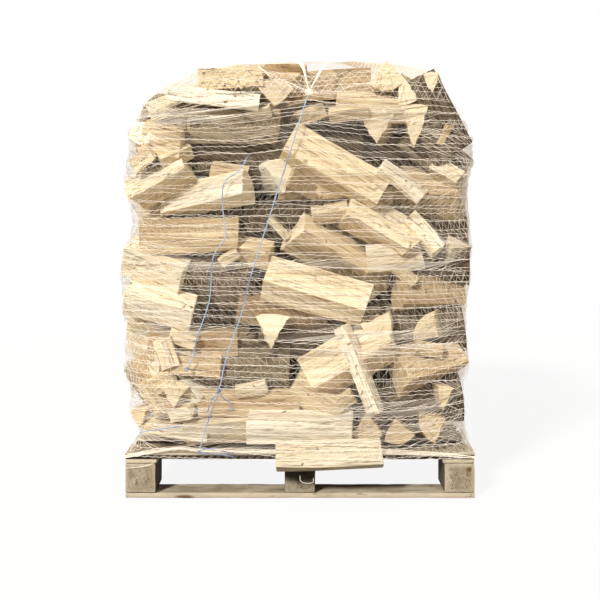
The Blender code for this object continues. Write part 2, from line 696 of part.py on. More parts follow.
def main():
    """Builds the whole pallet of firewood."""
    for old in list(bpy.data.objects):
        bpy.data.objects.remove(old)
    group = collection("pallet_of_firewood")
    guides = collection("guides")
    build_pallet(group)
    ends = PALLET_SIDE / 2
    corners = [(-ends, 0.0), (ends, 0.0), (ends, DECK_TOP), (-ends, DECK_TOP)]
    pallet = np.array([(x, y, z) for y in (-ends, ends) for x, z in corners])
    SIDES["front"].add(pallet)
    placed = heap_logs()
    cutters = build_front(group, guides)
    build_heap(placed, cutters, group)
    fronts = [np.array([tuple(vert.co) for vert in cutter.data.vertices]) for cutter in cutters]
    points = np.concatenate([edge_points(corners) for corners in placed + fronts] + [pallet])
    build_net(points, group)
    blue = material("blue_twine", (0.22, 0.45, 0.75), 0.5)
    build_twine("twine_long", TWINE_LONG, group, blue)
    build_twine("twine_short", TWINE_SHORT, group, blue)


main()
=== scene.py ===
"""Looks of a pallet of split firewood that a pallet net and blue twine hold together.

Metres, +Z up, the front of the pallet towards -Y. The logs are laid by the same rules as their solids, and
every log is then modelled as timber: two split faces, a strip of bark and two sawn ends.
"""

import json
import math
from random import Random
from typing import NamedTuple

import bmesh
import bpy
import numpy as np
from mathutils import Euler, Matrix, Vector, noise
from mathutils.bvhtree import BVHTree

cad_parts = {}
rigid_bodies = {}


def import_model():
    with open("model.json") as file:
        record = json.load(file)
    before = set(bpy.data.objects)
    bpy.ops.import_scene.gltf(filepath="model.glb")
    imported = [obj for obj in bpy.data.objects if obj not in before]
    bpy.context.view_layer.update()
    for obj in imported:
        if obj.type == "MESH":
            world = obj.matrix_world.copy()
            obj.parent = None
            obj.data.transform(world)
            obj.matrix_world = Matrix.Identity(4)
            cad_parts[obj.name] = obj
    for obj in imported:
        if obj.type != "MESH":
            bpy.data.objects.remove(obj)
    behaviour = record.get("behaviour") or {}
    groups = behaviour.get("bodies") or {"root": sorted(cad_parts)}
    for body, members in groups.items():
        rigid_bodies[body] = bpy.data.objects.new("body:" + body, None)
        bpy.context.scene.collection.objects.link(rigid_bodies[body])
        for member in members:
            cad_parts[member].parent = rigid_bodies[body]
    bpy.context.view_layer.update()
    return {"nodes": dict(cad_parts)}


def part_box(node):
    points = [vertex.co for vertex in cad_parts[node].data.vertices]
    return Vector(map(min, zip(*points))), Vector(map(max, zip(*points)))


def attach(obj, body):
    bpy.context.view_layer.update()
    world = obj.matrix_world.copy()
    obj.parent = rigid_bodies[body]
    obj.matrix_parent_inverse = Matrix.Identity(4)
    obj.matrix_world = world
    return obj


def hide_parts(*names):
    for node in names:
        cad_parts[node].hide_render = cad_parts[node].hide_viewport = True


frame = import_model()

bl_info = {
    "name": "Pallet of firewood",
    "version": (1, 0),
    "blender": (4, 5, 0),
    "location": "View3D > Sidebar > Firewood",
    "description": "Models a pallet of split firewood in a pallet net",
    "category": "Object",
}

# Where the logs of the load lie. These rules and values are those of its solids.
PALLET_SIDE = 1.000
CONTACT_GAP = 0.0003
DECK_TOP = 0.130
LOAD_TOP = 1.252
WALL = 0.372            # how far from the middle the outer layer of logs leans on the inner ones
FRONT_WALL = 0.345      # the same at the front, where the layer is deeper
TOP_WALL = 1.070
REACH = 0.497           # how far out the outer layer goes
SINK = 0.004            # how deep the logs of the heap press into each other
BARE = 0.015            # a side is bare where it's no further out than this from its inner logs
LEAST_COVER = 0.003     # square metres of bare side that a log has to cover
CELL = 0.005            # cell of the height maps that find where a log comes to rest
MAP_HALF = 1.40         # half side of the maps
FRONT_REACH = 0.455
SHOULDER = 1.02
SHOULDER_SLOPE = 0.30
CROWN = 1.10            # above this the left side falls away faster
CROWN_SLOPE = 1.1
FOOT = 0.30
FOOT_SLOPE = 0.25
HANGING_LOG = "log_hanging_low"                 # hangs in the net, in front of the deck
SPOTS = 4               # places looked at for each guess, of which the barest is taken
SIDE_SPANS = ((-0.42, 0.42), (0.17, 1.20))      # where the middle of a log of a side may be, across and up
TOP_SPANS = ((-0.38, 0.38), (-0.36, 0.40))      # the same on top, in X and Y
# Side, seed, how thick the logs are, guesses for each log and most logs
HEAP_FILL = [
    ("front", 3, 1.0, 60, 14),
    ("left", 11, 1.0, 120, 30),
    ("right", 23, 1.0, 120, 30),
    ("back", 37, 1.0, 120, 30),
    ("left", 12, 0.6, 80, 12),
    ("right", 24, 0.6, 80, 12),
    ("back", 38, 0.6, 80, 12),
    ("top", 53, 1.0, 100, 24),
    ("top", 54, 0.6, 60, 8),
]
NEVER = 9.0             # further out than anything
FLAT = 1e-6             # a face that turns its edge to a side has less of its normal along it

# Kinds of surface of a log
SPLIT, SAWN, BARK = 0, 1, 2
RADIUS_SCALE = 0.2      # metres of trunk radius for a tone's fourth value of 1
SEED_SPREAD = 61.0      # how far apart two logs' patterns are taken
WELD = 1e-5             # points closer than this are one
SHARP = math.radians(30)
TWIST = math.radians(2.5)
BOW = 0.0028
BOW_LEVEL = 0.4         # a bowed log keeps its place this far out from its middle, squared
SLANT = 0.10            # of the saw cuts
KINK = 0.22             # how far a split face may turn where it has a kink
KINK_RUN = 0.12         # how far the kink slants along the log
KINK_PLACES = (0.25, 0.75)      # how far out from the pith it is
FULL_WAVE = 0.10        # thinner trunks than this have lower waves
SWELL = 0.9             # share of the broad waves
STEP = 0.75             # share of the steps, and how steep these are
STEEP = 3.2
RIND = 0.8              # the bark's furrows start this far out

# Logs inside the load
INNER_LAYER = 0.085
INNER_ROWS = 8
INNER_LENGTHS = 3
INNER_SIDE = 0.345
INNER_BACK = 0.012

# Splinters
UNDERSIDE = -0.45        # none lie on faces that look further down than this
SPLINTER_GAP = 0.004
FACE_ORDER = Vector((0.7310, 0.5192, 0.4421))      # a slanting line along which faces are put in order
SPLINTER_ROOM = 0.20     # nothing may be nearer than this in front of a splinter
# Places looked at for splinters on each piece, and on each log of the front
SPLINTERS = {
    "logs_front": 300, "logs_left": 260, "logs_right": 260, "logs_back": 260, "logs_top": 300, "log": 26,
}
SLIVER_SHARE = 0.65      # of the splinters on split faces; the rest are chips
SLIVER_LENGTHS = (0.012, 0.050)
SLIVER_WIDTHS = (0.0018, 0.0040)
CHIP_LENGTH = 0.38       # a chip's length and width, of a sliver's
CHIP_WIDTH = 2.1

# Net
NET_FOOT = 0.127
NET_STILL = 0.12         # the rows wander less over this height above the deck
NET_RIM = 1.135          # the rows go all round the load up to here, and above it only along the front
NET_TOP = 1.240
NET_ROUND = 4.02
NET_DIRECTIONS = 240
NET_WINDOW = 0.013
NET_PULLS = 2
NET_SLACK = 0.0030
NET_WANDER = 0.008
NET_RIPPLE = 0.0022
STITCH_PULL = 0.0011     # how far each stitch draws its row up or down
GATHER = np.array((0.026, -0.519, 1.160))
GATHER_REACH = 0.24
GATHER_DRAW = 0.30
TOP_SKIP = 3
TOP_STEPS = 30
THROAT_STEPS = 9
# Where the net's top comes over the front edge, in two folds
THROAT_LEFT = np.array((0.004, -0.470, 1.246))
THROAT_RIGHT = np.array((0.088, -0.470, 1.246))
THROAT_SPREAD = 0.030
FRONT_OPEN = -0.38       # the threads over the top start behind this
# Bunches of strands: their route, how many strands and how far they spread
NET_BUNCHES = [
    (((0.026, -0.521, 1.160), (-0.02, -0.513, 1.175), (-0.075, -0.503, 1.205),
      (-0.120, -0.480, 1.238)), 5, 0.010),
    (((0.026, -0.521, 1.160), (0.090, -0.513, 1.160), (0.160, -0.510, 1.172),
      (0.230, -0.500, 1.190)), 5, 0.012),
    (((-0.504, -0.502, 0.119), (-0.420, -0.508, 0.137), (-0.343, -0.510, 0.148), (-0.289, -0.512, 0.142),
      (-0.200, -0.512, 0.141), (-0.100, -0.514, 0.140), (0.010, -0.516, 0.139), (0.120, -0.520, 0.138),
      (0.260, -0.516, 0.136), (0.400, -0.508, 0.128), (0.503, -0.503, 0.118)), 13, 0.0085),
]
NET_ENDS = [
    ((-0.500, -0.503, 0.087), (-0.470, -0.506, 0.090), (-0.430, -0.508, 0.098), (-0.410, -0.508, 0.112)),
    ((0.000, -0.580, 0.086), (0.002, -0.583, 0.072), (0.018, -0.583, 0.066), (0.036, -0.583, 0.069),
     (0.037, -0.581, 0.080)),
    ((0.371, -0.503, 0.112), (0.372, -0.506, 0.100), (0.384, -0.506, 0.098), (0.391, -0.505, 0.103),
     (0.390, -0.503, 0.114)),
]

# Twine, whose routes are those of its solids
TWINE_LONG = [
    (0.026, -0.518, 1.160), (0.001, -0.533, 1.084), (-0.027, -0.546, 0.990), (-0.090, -0.548, 0.793),
    (-0.141, -0.549, 0.628), (-0.167, -0.545, 0.526), (-0.192, -0.541, 0.457), (-0.211, -0.538, 0.395),
    (-0.229, -0.533, 0.316), (-0.262, -0.526, 0.220), (-0.288, -0.512, 0.135),
]
TWINE_SHORT = [
    (-0.156, -0.520, 0.960), (-0.178, -0.524, 0.931), (-0.213, -0.527, 0.905), (-0.220, -0.531, 0.847),
    (-0.211, -0.533, 0.752), (-0.236, -0.534, 0.712), (-0.249, -0.534, 0.670), (-0.256, -0.533, 0.570),
    (-0.290, -0.525, 0.467), (-0.302, -0.520, 0.413), (-0.320, -0.516, 0.373),
]
LONG_KNOTS = [((-0.229, -0.534, 0.316), 0.013), ((-0.288, -0.514, 0.137), 0.010)]
LONG_TAILS = [
    ((-0.229, -0.535, 0.316), (-0.240, -0.533, 0.300), (-0.252, -0.531, 0.285), (-0.263, -0.529, 0.249)),
    ((-0.231, -0.536, 0.313), (-0.214, -0.538, 0.292), (-0.196, -0.538, 0.279), (-0.192, -0.537, 0.264),
     (-0.198, -0.536, 0.256)),
]
SHORT_KNOTS = [((-0.157, -0.522, 0.959), 0.008), ((-0.320, -0.517, 0.373), 0.009)]
SHORT_TAILS = [((-0.157, -0.523, 0.959), (-0.150, -0.524, 0.975), (-0.138, -0.524, 0.984))]
# Short lengths of darker twine: two turns over the edge of the deck, and one that holds the net at the left
DARK_TWINE = {
    "twine_deck_upper": ((-0.289, -0.516, 0.141), (-0.262, -0.520, 0.147), (-0.228, -0.520, 0.142),
                         (-0.184, -0.519, 0.133)),
    "twine_deck_lower": ((-0.287, -0.516, 0.132), (-0.258, -0.520, 0.133), (-0.225, -0.520, 0.131),
                         (-0.190, -0.519, 0.124)),
    "twine_left": ((-0.458, -0.506, 0.190), (-0.430, -0.512, 0.196), (-0.390, -0.516, 0.203),
                   (-0.340, -0.518, 0.210)),
}

PALLET_PARTS = ("deck_board", "bottom_board", "stringer", "block")
BOARD_PITCH = 0.025
OUTER_BLOCK = 0.88       # how light the blocks are next to the boards, and those in the middle at their foot, darker as painted shade, and at their top, darker still as painted shadow of the hanging log
MIDDLE_BLOCK_SHADE = 0.62      # and those in the middle at their foot,
MIDDLE_TOP_SHADOW = 0.09        # and at their top, which stays wet longest
DECK_EDGE_SHADOW = 0.008        # height of the painted shadow along the deck's lower edge
BLOCK_SIDE_SHADE = 0.24              # painted shade: how dark the blocks are on the sides that face each other

# Stage
CAMERA_LENS = 63.0
CAMERA_SHIFT = -1 / 6
CAMERA_PLACE = (0.0, -3.5, 0.8529)
KEY_AIM = (0.46, 0.82, -0.62)
FLOOR_GLOW = 0.90

# Logs of the front that keep their bark, and how many of the heap's do
BARKED = (
    "log_bark_upper_left", "log_bark_corner_left", "log_bark_corner_right", "log_dark_middle", "log_tan_left",
    "log_top_left",
)
BARK_SHARE = 0.30
BARK_AHEAD = 25          # a heap log whose bark is turned to the front by this or less has kept it
DEBARKED = 0.10         # a log without bark is as if split from the inside of a trunk this much thicker
DEEP = 0.471            # logs of the front that stand out no further are painted darker and browner, as painted shade, and these the most
DEEPEST = 0.456         # and these the most
DEEP_LIGHT = 0.21

# How light and how warm the logs of the front are. The low, brown tones of log_dark_middle,
# log_bark_corner_right and log_brown_right are partly painted shade.
TONES = {
    "log_bark_upper_left": (1.07, 0.4),
    "log_top_left": (0.96, 0.62),
    "log_slab_top_left": (1.08, 0.0),
    "log_bark_corner_left": (0.95, 0.5),
    "log_round_left": (1.16, 0.04),
    "log_wedge_left": (1.02, 0.32),
    "log_dark_middle": (0.50, 0.9),
    "log_upright_face": (1.12, 0.05),
    "log_under_ridge": (0.72, 0.8),
    "log_clean_left": (1.02, 0.20),
    "log_top_right": (0.94, 0.42),
    "log_point_down": (1.02, 0.30),
    "log_upright_end": (1.00, 0.40),
    "log_top_end_right": (0.98, 0.45),
    "log_edge_end_right": (1.00, 0.30),
    "log_bark_corner_right": (0.52, 1.0),
    "log_shade_right": (0.88, 0.75),
    "log_long_ridge": (0.98, 0.50),
    "log_slab_steep": (1.08, 0.10),
    "log_broad_face": (1.02, 0.30),
    "log_chunk_right": (1.02, 0.25),
    "log_chunk_middle": (0.95, 0.55),
    "log_sloping_ridge": (1.00, 0.42),
    "log_tan_left": (0.90, 0.72),
    "log_pale_left": (1.06, 0.18),
    "log_pale_left_lower": (1.04, 0.25),
    "log_pale_middle": (1.00, 0.35),
    "log_brown_right": (0.78, 0.92),
    "log_square_end": (0.98, 0.35),
    "log_brown_right_lower": (0.90, 0.72),
    "log_point_middle": (1.12, 0.2),
    "log_big_face_low": (1.02, 0.30),
    "log_leaning_stick": (1.06, 0.12),
    "log_pale_low": (1.04, 0.0),
    "log_hanging_low": (0.81, 0.22),
}


class Log(NamedTuple):
    """One split log. Lengths in metres, angles in degrees."""

    name: str
    across: float       # X of its middle
    height: float       # Z of its middle
    out: float          # the furthest that it stands out from the middle of the pallet
    length: float
    radius: float       # of the trunk it was split from
    opening: float      # angle of the sector
    bark: float         # where the bark faces: 0 front, 90 up, 180 back, 270 down
    tilt: float = 0.0   # right end up
    yaw: float = 0.0    # right end towards the front
    taper: float = 1.0  # size of the right end, of the left end's


class Laid(NamedTuple):
    """A log where it lies."""

    log: Log
    turn: Matrix        # from its own axes to the load's
    place: Vector       # of its middle


# The layer that shows from the front, deepest first. These have a node of their own.
FRONT_LOGS = [
    Log("log_bark_upper_left", -0.205, 1.073, 0.485, 0.290, 0.092, 75, 5, -2, 0, 0.95),
    Log("log_top_left", -0.200, 1.214, 0.478, 0.185, 0.062, 90, 222, 3),
    Log("log_slab_top_left", -0.246, 1.152, 0.508, 0.262, 0.048, 90, 225, -7),
    Log("log_bark_corner_left", -0.372, 1.100, 0.495, 0.200, 0.086, 90, 25, -6, 40),
    Log("log_round_left", -0.402, 1.016, 0.508, 0.180, 0.064, 160, 80, -20, -42),
    Log("log_wedge_left", -0.408, 0.910, 0.512, 0.185, 0.096, 75, 168, 28, 8, 0.9),
    Log("log_dark_middle", -0.045, 0.800, 0.460, 0.230, 0.080, 90, 120, 4),
    Log("log_upright_face", -0.095, 0.905, 0.500, 0.260, 0.100, 66, 90, 4, 70),
    Log("log_under_ridge", 0.055, 0.868, 0.495, 0.240, 0.085, 90, 130, -25, -30),
    Log("log_clean_left", -0.276, 0.864, 0.535, 0.278, 0.080, 90, 150, 10.5, 24),
    Log("log_top_right", 0.222, 1.128, 0.492, 0.235, 0.066, 90, 205, -3),
    Log("log_point_down", 0.252, 1.058, 0.492, 0.270, 0.106, 58, 92, 0, 104),
    Log("log_upright_end", 0.344, 1.050, 0.505, 0.270, 0.118, 42, 94, 6, 98),
    Log("log_top_end_right", 0.272, 1.206, 0.500, 0.280, 0.080, 84, 268, 2, 100),
    Log("log_edge_end_right", 0.334, 1.172, 0.510, 0.260, 0.094, 40, 258, 2, 106),
    Log("log_bark_corner_right", 0.380, 1.090, 0.490, 0.250, 0.105, 90, 15, -62),
    Log("log_shade_right", 0.378, 0.872, 0.505, 0.200, 0.118, 90, 182, -6, 18),
    Log("log_long_ridge", 0.092, 0.934, 0.530, 0.306, 0.094, 90, 158, -29.5),
    Log("log_slab_steep", 0.292, 0.908, 0.540, 0.150, 0.042, 90, 200, -36),
    Log("log_broad_face", 0.220, 0.775, 0.525, 0.200, 0.118, 76, 172, -29),
    Log("log_chunk_right", 0.350, 0.752, 0.525, 0.130, 0.048, 80, 170, -48, 20),
    Log("log_chunk_middle", -0.146, 0.704, 0.505, 0.135, 0.062, 90, 190, -10, 20),
    Log("log_sloping_ridge", 0.120, 0.690, 0.525, 0.325, 0.125, 80, 170, -31, -22),
    Log("log_tan_left", -0.320, 0.760, 0.490, 0.285, 0.088, 100, 215, 3),
    Log("log_pale_left", -0.418, 0.665, 0.515, 0.180, 0.086, 90, 200, -20, 6),
    Log("log_pale_left_lower", -0.404, 0.552, 0.520, 0.200, 0.076, 90, 196, -15, 4),
    Log("log_pale_middle", 0.045, 0.588, 0.545, 0.300, 0.088, 90, 172, -16),
    Log("log_brown_right", 0.378, 0.577, 0.510, 0.205, 0.088, 100, 150, -1, -24),
    Log("log_square_end", 0.252, 0.490, 0.505, 0.250, 0.088, 78, 300, 0, 98),
    Log("log_brown_right_lower", 0.378, 0.372, 0.520, 0.195, 0.115, 84, 168, 14, -20),
    Log("log_point_middle", -0.093, 0.467, 0.505, 0.200, 0.102, 46, 88, 4, 84),
    Log("log_big_face_low", 0.148, 0.388, 0.530, 0.270, 0.120, 78, 178, 29),
    Log("log_leaning_stick", 0.170, 0.374, 0.555, 0.265, 0.046, 80, 195, -68),
    Log("log_pale_low", 0.000, 0.207, 0.530, 0.300, 0.072, 90, 212, 0),
    Log("log_hanging_low", 0.082, 0.124, 0.590, 0.300, 0.076, 90, 160, 1.5),
]

# Logs of the front that belong to the heap, deepest first.
HEAP_FRONT = [Log("", *row) for row in (
    (-0.190, 0.985, 0.455, 0.280, 0.095, 90, 5, -4),
    (0.050, 1.010, 0.455, 0.260, 0.090, 100, 200, 0),
    (0.140, 1.100, 0.455, 0.240, 0.078, 90, 175, 3),
    (0.085, 1.200, 0.468, 0.250, 0.078, 90, 215, 2),
    (-0.058, 1.205, 0.468, 0.130, 0.080, 90, 190, -6, 20),
    (0.392, 0.985, 0.465, 0.200, 0.092, 90, 20, -40),
    (-0.120, 0.790, 0.450, 0.280, 0.090, 90, 10, 2),
    (-0.270, 0.640, 0.460, 0.260, 0.110, 110, 5, -8),
    (0.375, 0.765, 0.455, 0.240, 0.100, 90, 200, -3),
    (0.380, 0.672, 0.455, 0.230, 0.095, 100, 0, 0),
    (0.060, 0.805, 0.455, 0.240, 0.085, 90, 60, 8),
    (-0.050, 0.540, 0.465, 0.260, 0.085, 90, 200, -5),
    (0.020, 0.455, 0.455, 0.280, 0.090, 90, 195, 9),
    (0.360, 0.480, 0.450, 0.240, 0.100, 100, 0, 3),
    (-0.180, 0.375, 0.465, 0.300, 0.085, 120, 0, -5),
    (-0.310, 0.440, 0.470, 0.260, 0.085, 90, 220, -4),
    (-0.150, 0.278, 0.475, 0.290, 0.075, 90, 220, 1),
    (0.330, 0.250, 0.450, 0.290, 0.095, 100, 0, 9),
    (-0.435, 0.470, 0.480, 0.140, 0.095, 90, 200, -32, 30),
    (-0.438, 0.395, 0.490, 0.200, 0.085, 90, 140, -20, 55),
    (-0.430, 0.310, 0.490, 0.180, 0.100, 80, 190, -52, 20),
    (-0.360, 0.192, 0.485, 0.180, 0.090, 90, 60, -10),
    (-0.440, 0.222, 0.490, 0.250, 0.055, 60, 90, 0, 100),
    (-0.372, 0.283, 0.500, 0.240, 0.078, 60, 92, 4, 84),
    (-0.302, 0.388, 0.500, 0.150, 0.056, 90, 210, -6),
    (-0.330, 0.322, 0.490, 0.140, 0.066, 80, 200, -42, 20),
    (-0.195, 0.190, 0.485, 0.280, 0.080, 90, 200, 4),
    (0.055, 0.288, 0.500, 0.160, 0.090, 90, 200, -34),
    (0.275, 0.672, 0.490, 0.160, 0.085, 90, 150, 6),
    (0.200, 0.200, 0.490, 0.230, 0.078, 70, 265, 0, 92),
    (0.297, 0.183, 0.490, 0.240, 0.074, 80, 255, 2, 98),
    (0.392, 0.205, 0.495, 0.240, 0.078, 80, 330, 0, 96),
    (0.400, 0.280, 0.490, 0.220, 0.070, 40, 90, 0, 84),
    (0.405, 0.480, 0.485, 0.210, 0.075, 90, 30, 0, 112),
    (0.445, 0.640, 0.480, 0.200, 0.080, 60, 30, 60, 60),
    (0.397, 1.185, 0.490, 0.240, 0.060, 60, 80, 0, 100),
    (-0.090, 1.160, 0.475, 0.240, 0.080, 90, 100, 0, 80),
    (-0.205, 0.937, 0.500, 0.105, 0.048, 80, 200, -12),
    (0.086, 0.815, 0.500, 0.105, 0.052, 80, 190, 8),
    (0.318, 0.732, 0.510, 0.095, 0.045, 80, 150, 38),
)]

# Short offcuts and kindling caught between the logs of the front.
OFFCUTS = [Log("", *row) for row in (
    (-0.392, 1.040, 0.516, 0.120, 0.076, 90, 205, -12, 10),
    (-0.360, 0.985, 0.510, 0.095, 0.050, 80, 190, 24, -15),
    (-0.452, 0.975, 0.508, 0.070, 0.050, 90, 215, 35, 20),
    (-0.389, 0.412, 0.509, 0.085, 0.056, 90, 150, -72, 10),
    (-0.397, 0.338, 0.512, 0.072, 0.050, 80, 205, 28, 25),
    (-0.425, 0.284, 0.508, 0.105, 0.050, 70, 190, -58, 15),
    (-0.332, 0.462, 0.502, 0.080, 0.038, 90, 215, -20, 0),
    (-0.345, 0.246, 0.508, 0.070, 0.040, 80, 210, 12, 20),
    (0.140, 1.104, 0.506, 0.115, 0.038, 80, 190, 9, 6),
    (0.030, 1.106, 0.508, 0.080, 0.042, 90, 215, 20, -8),
    (-0.060, 0.772, 0.512, 0.080, 0.020, 90, 200, -48, 0),
    (-0.118, 1.104, 0.500, 0.070, 0.036, 90, 205, 14, 12),
    (0.411, 1.040, 0.520, 0.060, 0.018, 90, 200, 62, 0),
    (0.418, 0.930, 0.520, 0.090, 0.050, 80, 170, -30, 25),
    (0.372, 0.425, 0.508, 0.080, 0.036, 90, 200, -10, 0),
    (0.118, 0.275, 0.512, 0.080, 0.036, 80, 200, 36, 10),
    (-0.140, 0.312, 0.508, 0.090, 0.034, 80, 205, 12, 0),
    (0.300, 0.638, 0.514, 0.075, 0.032, 80, 190, -42, 0),
    (-0.205, 0.690, 0.506, 0.060, 0.030, 90, 200, 30, 0),
)]


def section(radius, opening, arc_step=45.0):
    """Coarse outline of a split section around its middle, as (towards the bark, across), and the middle."""
    half = math.radians(opening) / 2
    steps = max(1, round(opening / arc_step))
    points = [Vector((0.0, 0.0))]
    for step in range(steps + 1):
        angle = -half + 2 * half * step / steps
        points.append(Vector((radius * math.cos(angle), radius * math.sin(angle))))
    low = Vector([min(p[axis] for p in points) for axis in (0, 1)])
    high = Vector([max(p[axis] for p in points) for axis in (0, 1)])
    middle = (low + high) / 2
    return [point - middle for point in points], middle


def log_lie(log):
    """Rotation of a log that only turns its length, by its tilt and yaw."""
    return Euler((0, -math.radians(log.tilt), -math.radians(log.yaw))).to_matrix()


def log_turn(log):
    """Rotation from a log's own axes, along it, towards its bark and across, to the load's."""
    bark = math.radians(log.bark)
    roll = Matrix(((1, 0, 0), (0, -math.cos(bark), -math.sin(bark)), (0, math.sin(bark), -math.cos(bark))))
    return log_lie(log) @ roll


def log_corners(log):
    """Corners of a log around its own middle, turned as it lies: its left end, then its right end."""
    bark = math.radians(log.bark)
    turn = log_lie(log)
    outline, _ = section(log.radius, log.opening)
    corners = []
    for along, size in ((-log.length / 2, 1.0), (log.length / 2, log.taper)):
        for out, side in outline:
            front = (out * math.cos(bark) - side * math.sin(bark)) * size
            up = (out * math.sin(bark) + side * math.cos(bark)) * size
            corners.append(turn @ Vector((along, -front, up)))
    return np.array([tuple(corner) for corner in corners])


def face_planes(corners):
    """Outward normals and offsets of the flat faces of a convex log, from its two end rings."""
    sides = len(corners) // 2
    middle = corners.mean(axis=0)
    normals, offsets = [], []
    faces = [(0, 1, 2), (sides, sides + 1, sides + 2)]
    faces += [(i, (i + 1) % sides, i + sides) for i in range(sides)]
    for a, b, c in faces:
        normal = np.cross(corners[b] - corners[a], corners[c] - corners[a])
        normal /= np.linalg.norm(normal)
        offset = normal @ corners[a]
        if normal @ middle > offset:
            normal, offset = -normal, -offset
        normals.append(normal)
        offsets.append(offset)
    return np.array(normals), np.array(offsets)


class Side:
    """One side of the load: a map of how far out it reaches, over a grid of cells."""

    def __init__(self, across, up, out, wall):
        self.axes = np.array([across, up, out], dtype=float)
        self.wall = wall
        cells = int(2 * MAP_HALF / CELL)
        self.reach = np.full((cells, cells), wall)

    def window(self, corners):
        """Cells under a log, as two slices and the middles of the cells."""
        flat = corners @ self.axes[:2].T
        low = np.floor((flat.min(axis=0) + MAP_HALF) / CELL).astype(int) - 1
        high = np.ceil((flat.max(axis=0) + MAP_HALF) / CELL).astype(int) + 1
        rows = (np.arange(low[0], high[0]) + 0.5) * CELL - MAP_HALF
        columns = (np.arange(low[1], high[1]) + 0.5) * CELL - MAP_HALF
        return slice(low[0], high[0]), slice(low[1], high[1]), rows, columns

    def extents(self, corners, rows, columns):
        """Inner and outer reach of a log over the cells, with NEVER where a cell misses it."""
        normals, offsets = face_planes(corners)
        local = normals @ self.axes.T
        u, v = np.meshgrid(rows, columns, indexing="ij")
        inner = np.full(u.shape, -NEVER)
        outer = np.full(u.shape, NEVER)
        for (a, b, c), offset in zip(local, offsets):
            room = offset - a * u - b * v
            if c > FLAT:
                outer = np.minimum(outer, room / c)
            elif c < -FLAT:
                inner = np.maximum(inner, room / c)
            else:
                outer = np.where(room < 0, -NEVER, outer)
        missed = inner >= outer
        inner[missed] = NEVER
        outer[missed] = -NEVER
        return inner, outer

    def rest(self, corners):
        """How far out a log has to move, from where it is, to rest on this side."""
        rows_slice, columns_slice, rows, columns = self.window(corners)
        inner, _ = self.extents(corners, rows, columns)
        return float((self.reach[rows_slice, columns_slice] - inner).max()) - SINK

    def cover(self, corners):
        """Area of the bare part of this side that a log would cover, and the area of the log's outline."""
        rows_slice, columns_slice, rows, columns = self.window(corners)
        inner, outer = self.extents(corners, rows, columns)
        inside = inner < outer
        bare = inside & (self.reach[rows_slice, columns_slice] < self.wall + BARE)
        return bare.sum() * CELL ** 2, inside.sum() * CELL ** 2

    def add(self, corners):
        """Raises the map to a log that now lies there."""
        rows_slice, columns_slice, rows, columns = self.window(corners)
        _, outer = self.extents(corners, rows, columns)
        here = self.reach[rows_slice, columns_slice]
        np.maximum(here, outer, out=here)


X_AXIS, Y_AXIS, Z_AXIS = (1, 0, 0), (0, 1, 0), (0, 0, 1)
SIDES = {
    "front": Side(X_AXIS, Z_AXIS, (0, -1, 0), FRONT_WALL),
    "left": Side(Y_AXIS, Z_AXIS, (-1, 0, 0), WALL),
    "right": Side(Y_AXIS, Z_AXIS, (1, 0, 0), WALL),
    "back": Side(X_AXIS, Z_AXIS, (0, 1, 0), WALL),
    "top": Side(X_AXIS, Y_AXIS, (0, 0, 1), TOP_WALL),
}
SIDE_TURN = {"front": 0, "left": -90, "right": 90, "back": 180}


def put(corners):
    """Enters a placed log in the map of every side."""
    for side in SIDES.values():
        side.add(corners)


def lean_front(log):
    """Where a log of the front goes: it leans back until it rests, or as far as it may stand out."""
    corners = log_corners(log)
    place = np.array([log.across, 0.0, log.height])
    if log.name == HANGING_LOG:
        place[1] = -PALLET_SIDE / 2 - CONTACT_GAP - corners[:, 1].max()
        return place
    place[2] = max(log.height, DECK_TOP + CONTACT_GAP - corners[:, 2].min())
    corners = corners + place
    place[1] = -min(SIDES["front"].rest(corners), log.out + float(corners[:, 1].min()))
    return place


def allowed(corners):
    """True where a log of the sides stays inside the rounded outline of the load."""
    x, y, z = np.abs(corners[:, 0]), corners[:, 1], corners[:, 2]
    narrowing = np.maximum(0.0, z - SHOULDER) * SHOULDER_SLOPE + np.maximum(0.0, FOOT - z) * FOOT_SLOPE
    left = corners[:, 0] - np.maximum(0.0, z - CROWN) * CROWN_SLOPE
    return bool(
        z.min() > DECK_TOP + CONTACT_GAP
        and z.max() < LOAD_TOP
        and (x + narrowing).max() < REACH
        and left.min() > -REACH
        and (y + narrowing).max() < REACH
        and y.min() > -FRONT_REACH
    )


def guess(random, name, thick):
    """A seeded guess of a log for a side, over a bare spot of it, before it comes to rest."""
    kind = random.random()
    tilt = random.gauss(0, 15)
    yaw = random.gauss(0, 8)
    if kind < 0.20:
        yaw = random.choice((-1, 1)) * random.uniform(68, 90)
    elif kind < 0.36:
        tilt = random.choice((-1, 1)) * random.uniform(30, 70)
    length = random.uniform(0.24, 0.30)
    radius = random.uniform(0.062, 0.112) * thick
    opening = random.uniform(62, 110)
    bark = random.uniform(0, 360)
    taper = random.uniform(0.88, 1.0)
    log = Log("", 0, 0, 0, length, radius, opening, bark, tilt, yaw, taper)
    side = SIDES[name]
    spots = []
    for _ in range(SPOTS):
        spot = [random.uniform(*span) for span in (TOP_SPANS if name == "top" else SIDE_SPANS)]
        row, column = (int((value + MAP_HALF) / CELL) for value in spot)
        spots.append((side.reach[row, column], spot))
    across, up = min(spots)[1]
    if name == "top":
        turn = Matrix.Rotation(random.uniform(0, math.pi), 3, "Z")
        place = np.array([across, up, 0])
    else:
        turn = Matrix.Rotation(math.radians(SIDE_TURN[name]), 3, "Z")
        place = side.axes[0] * across + np.array([0, 0, up])
    return log, turn, place


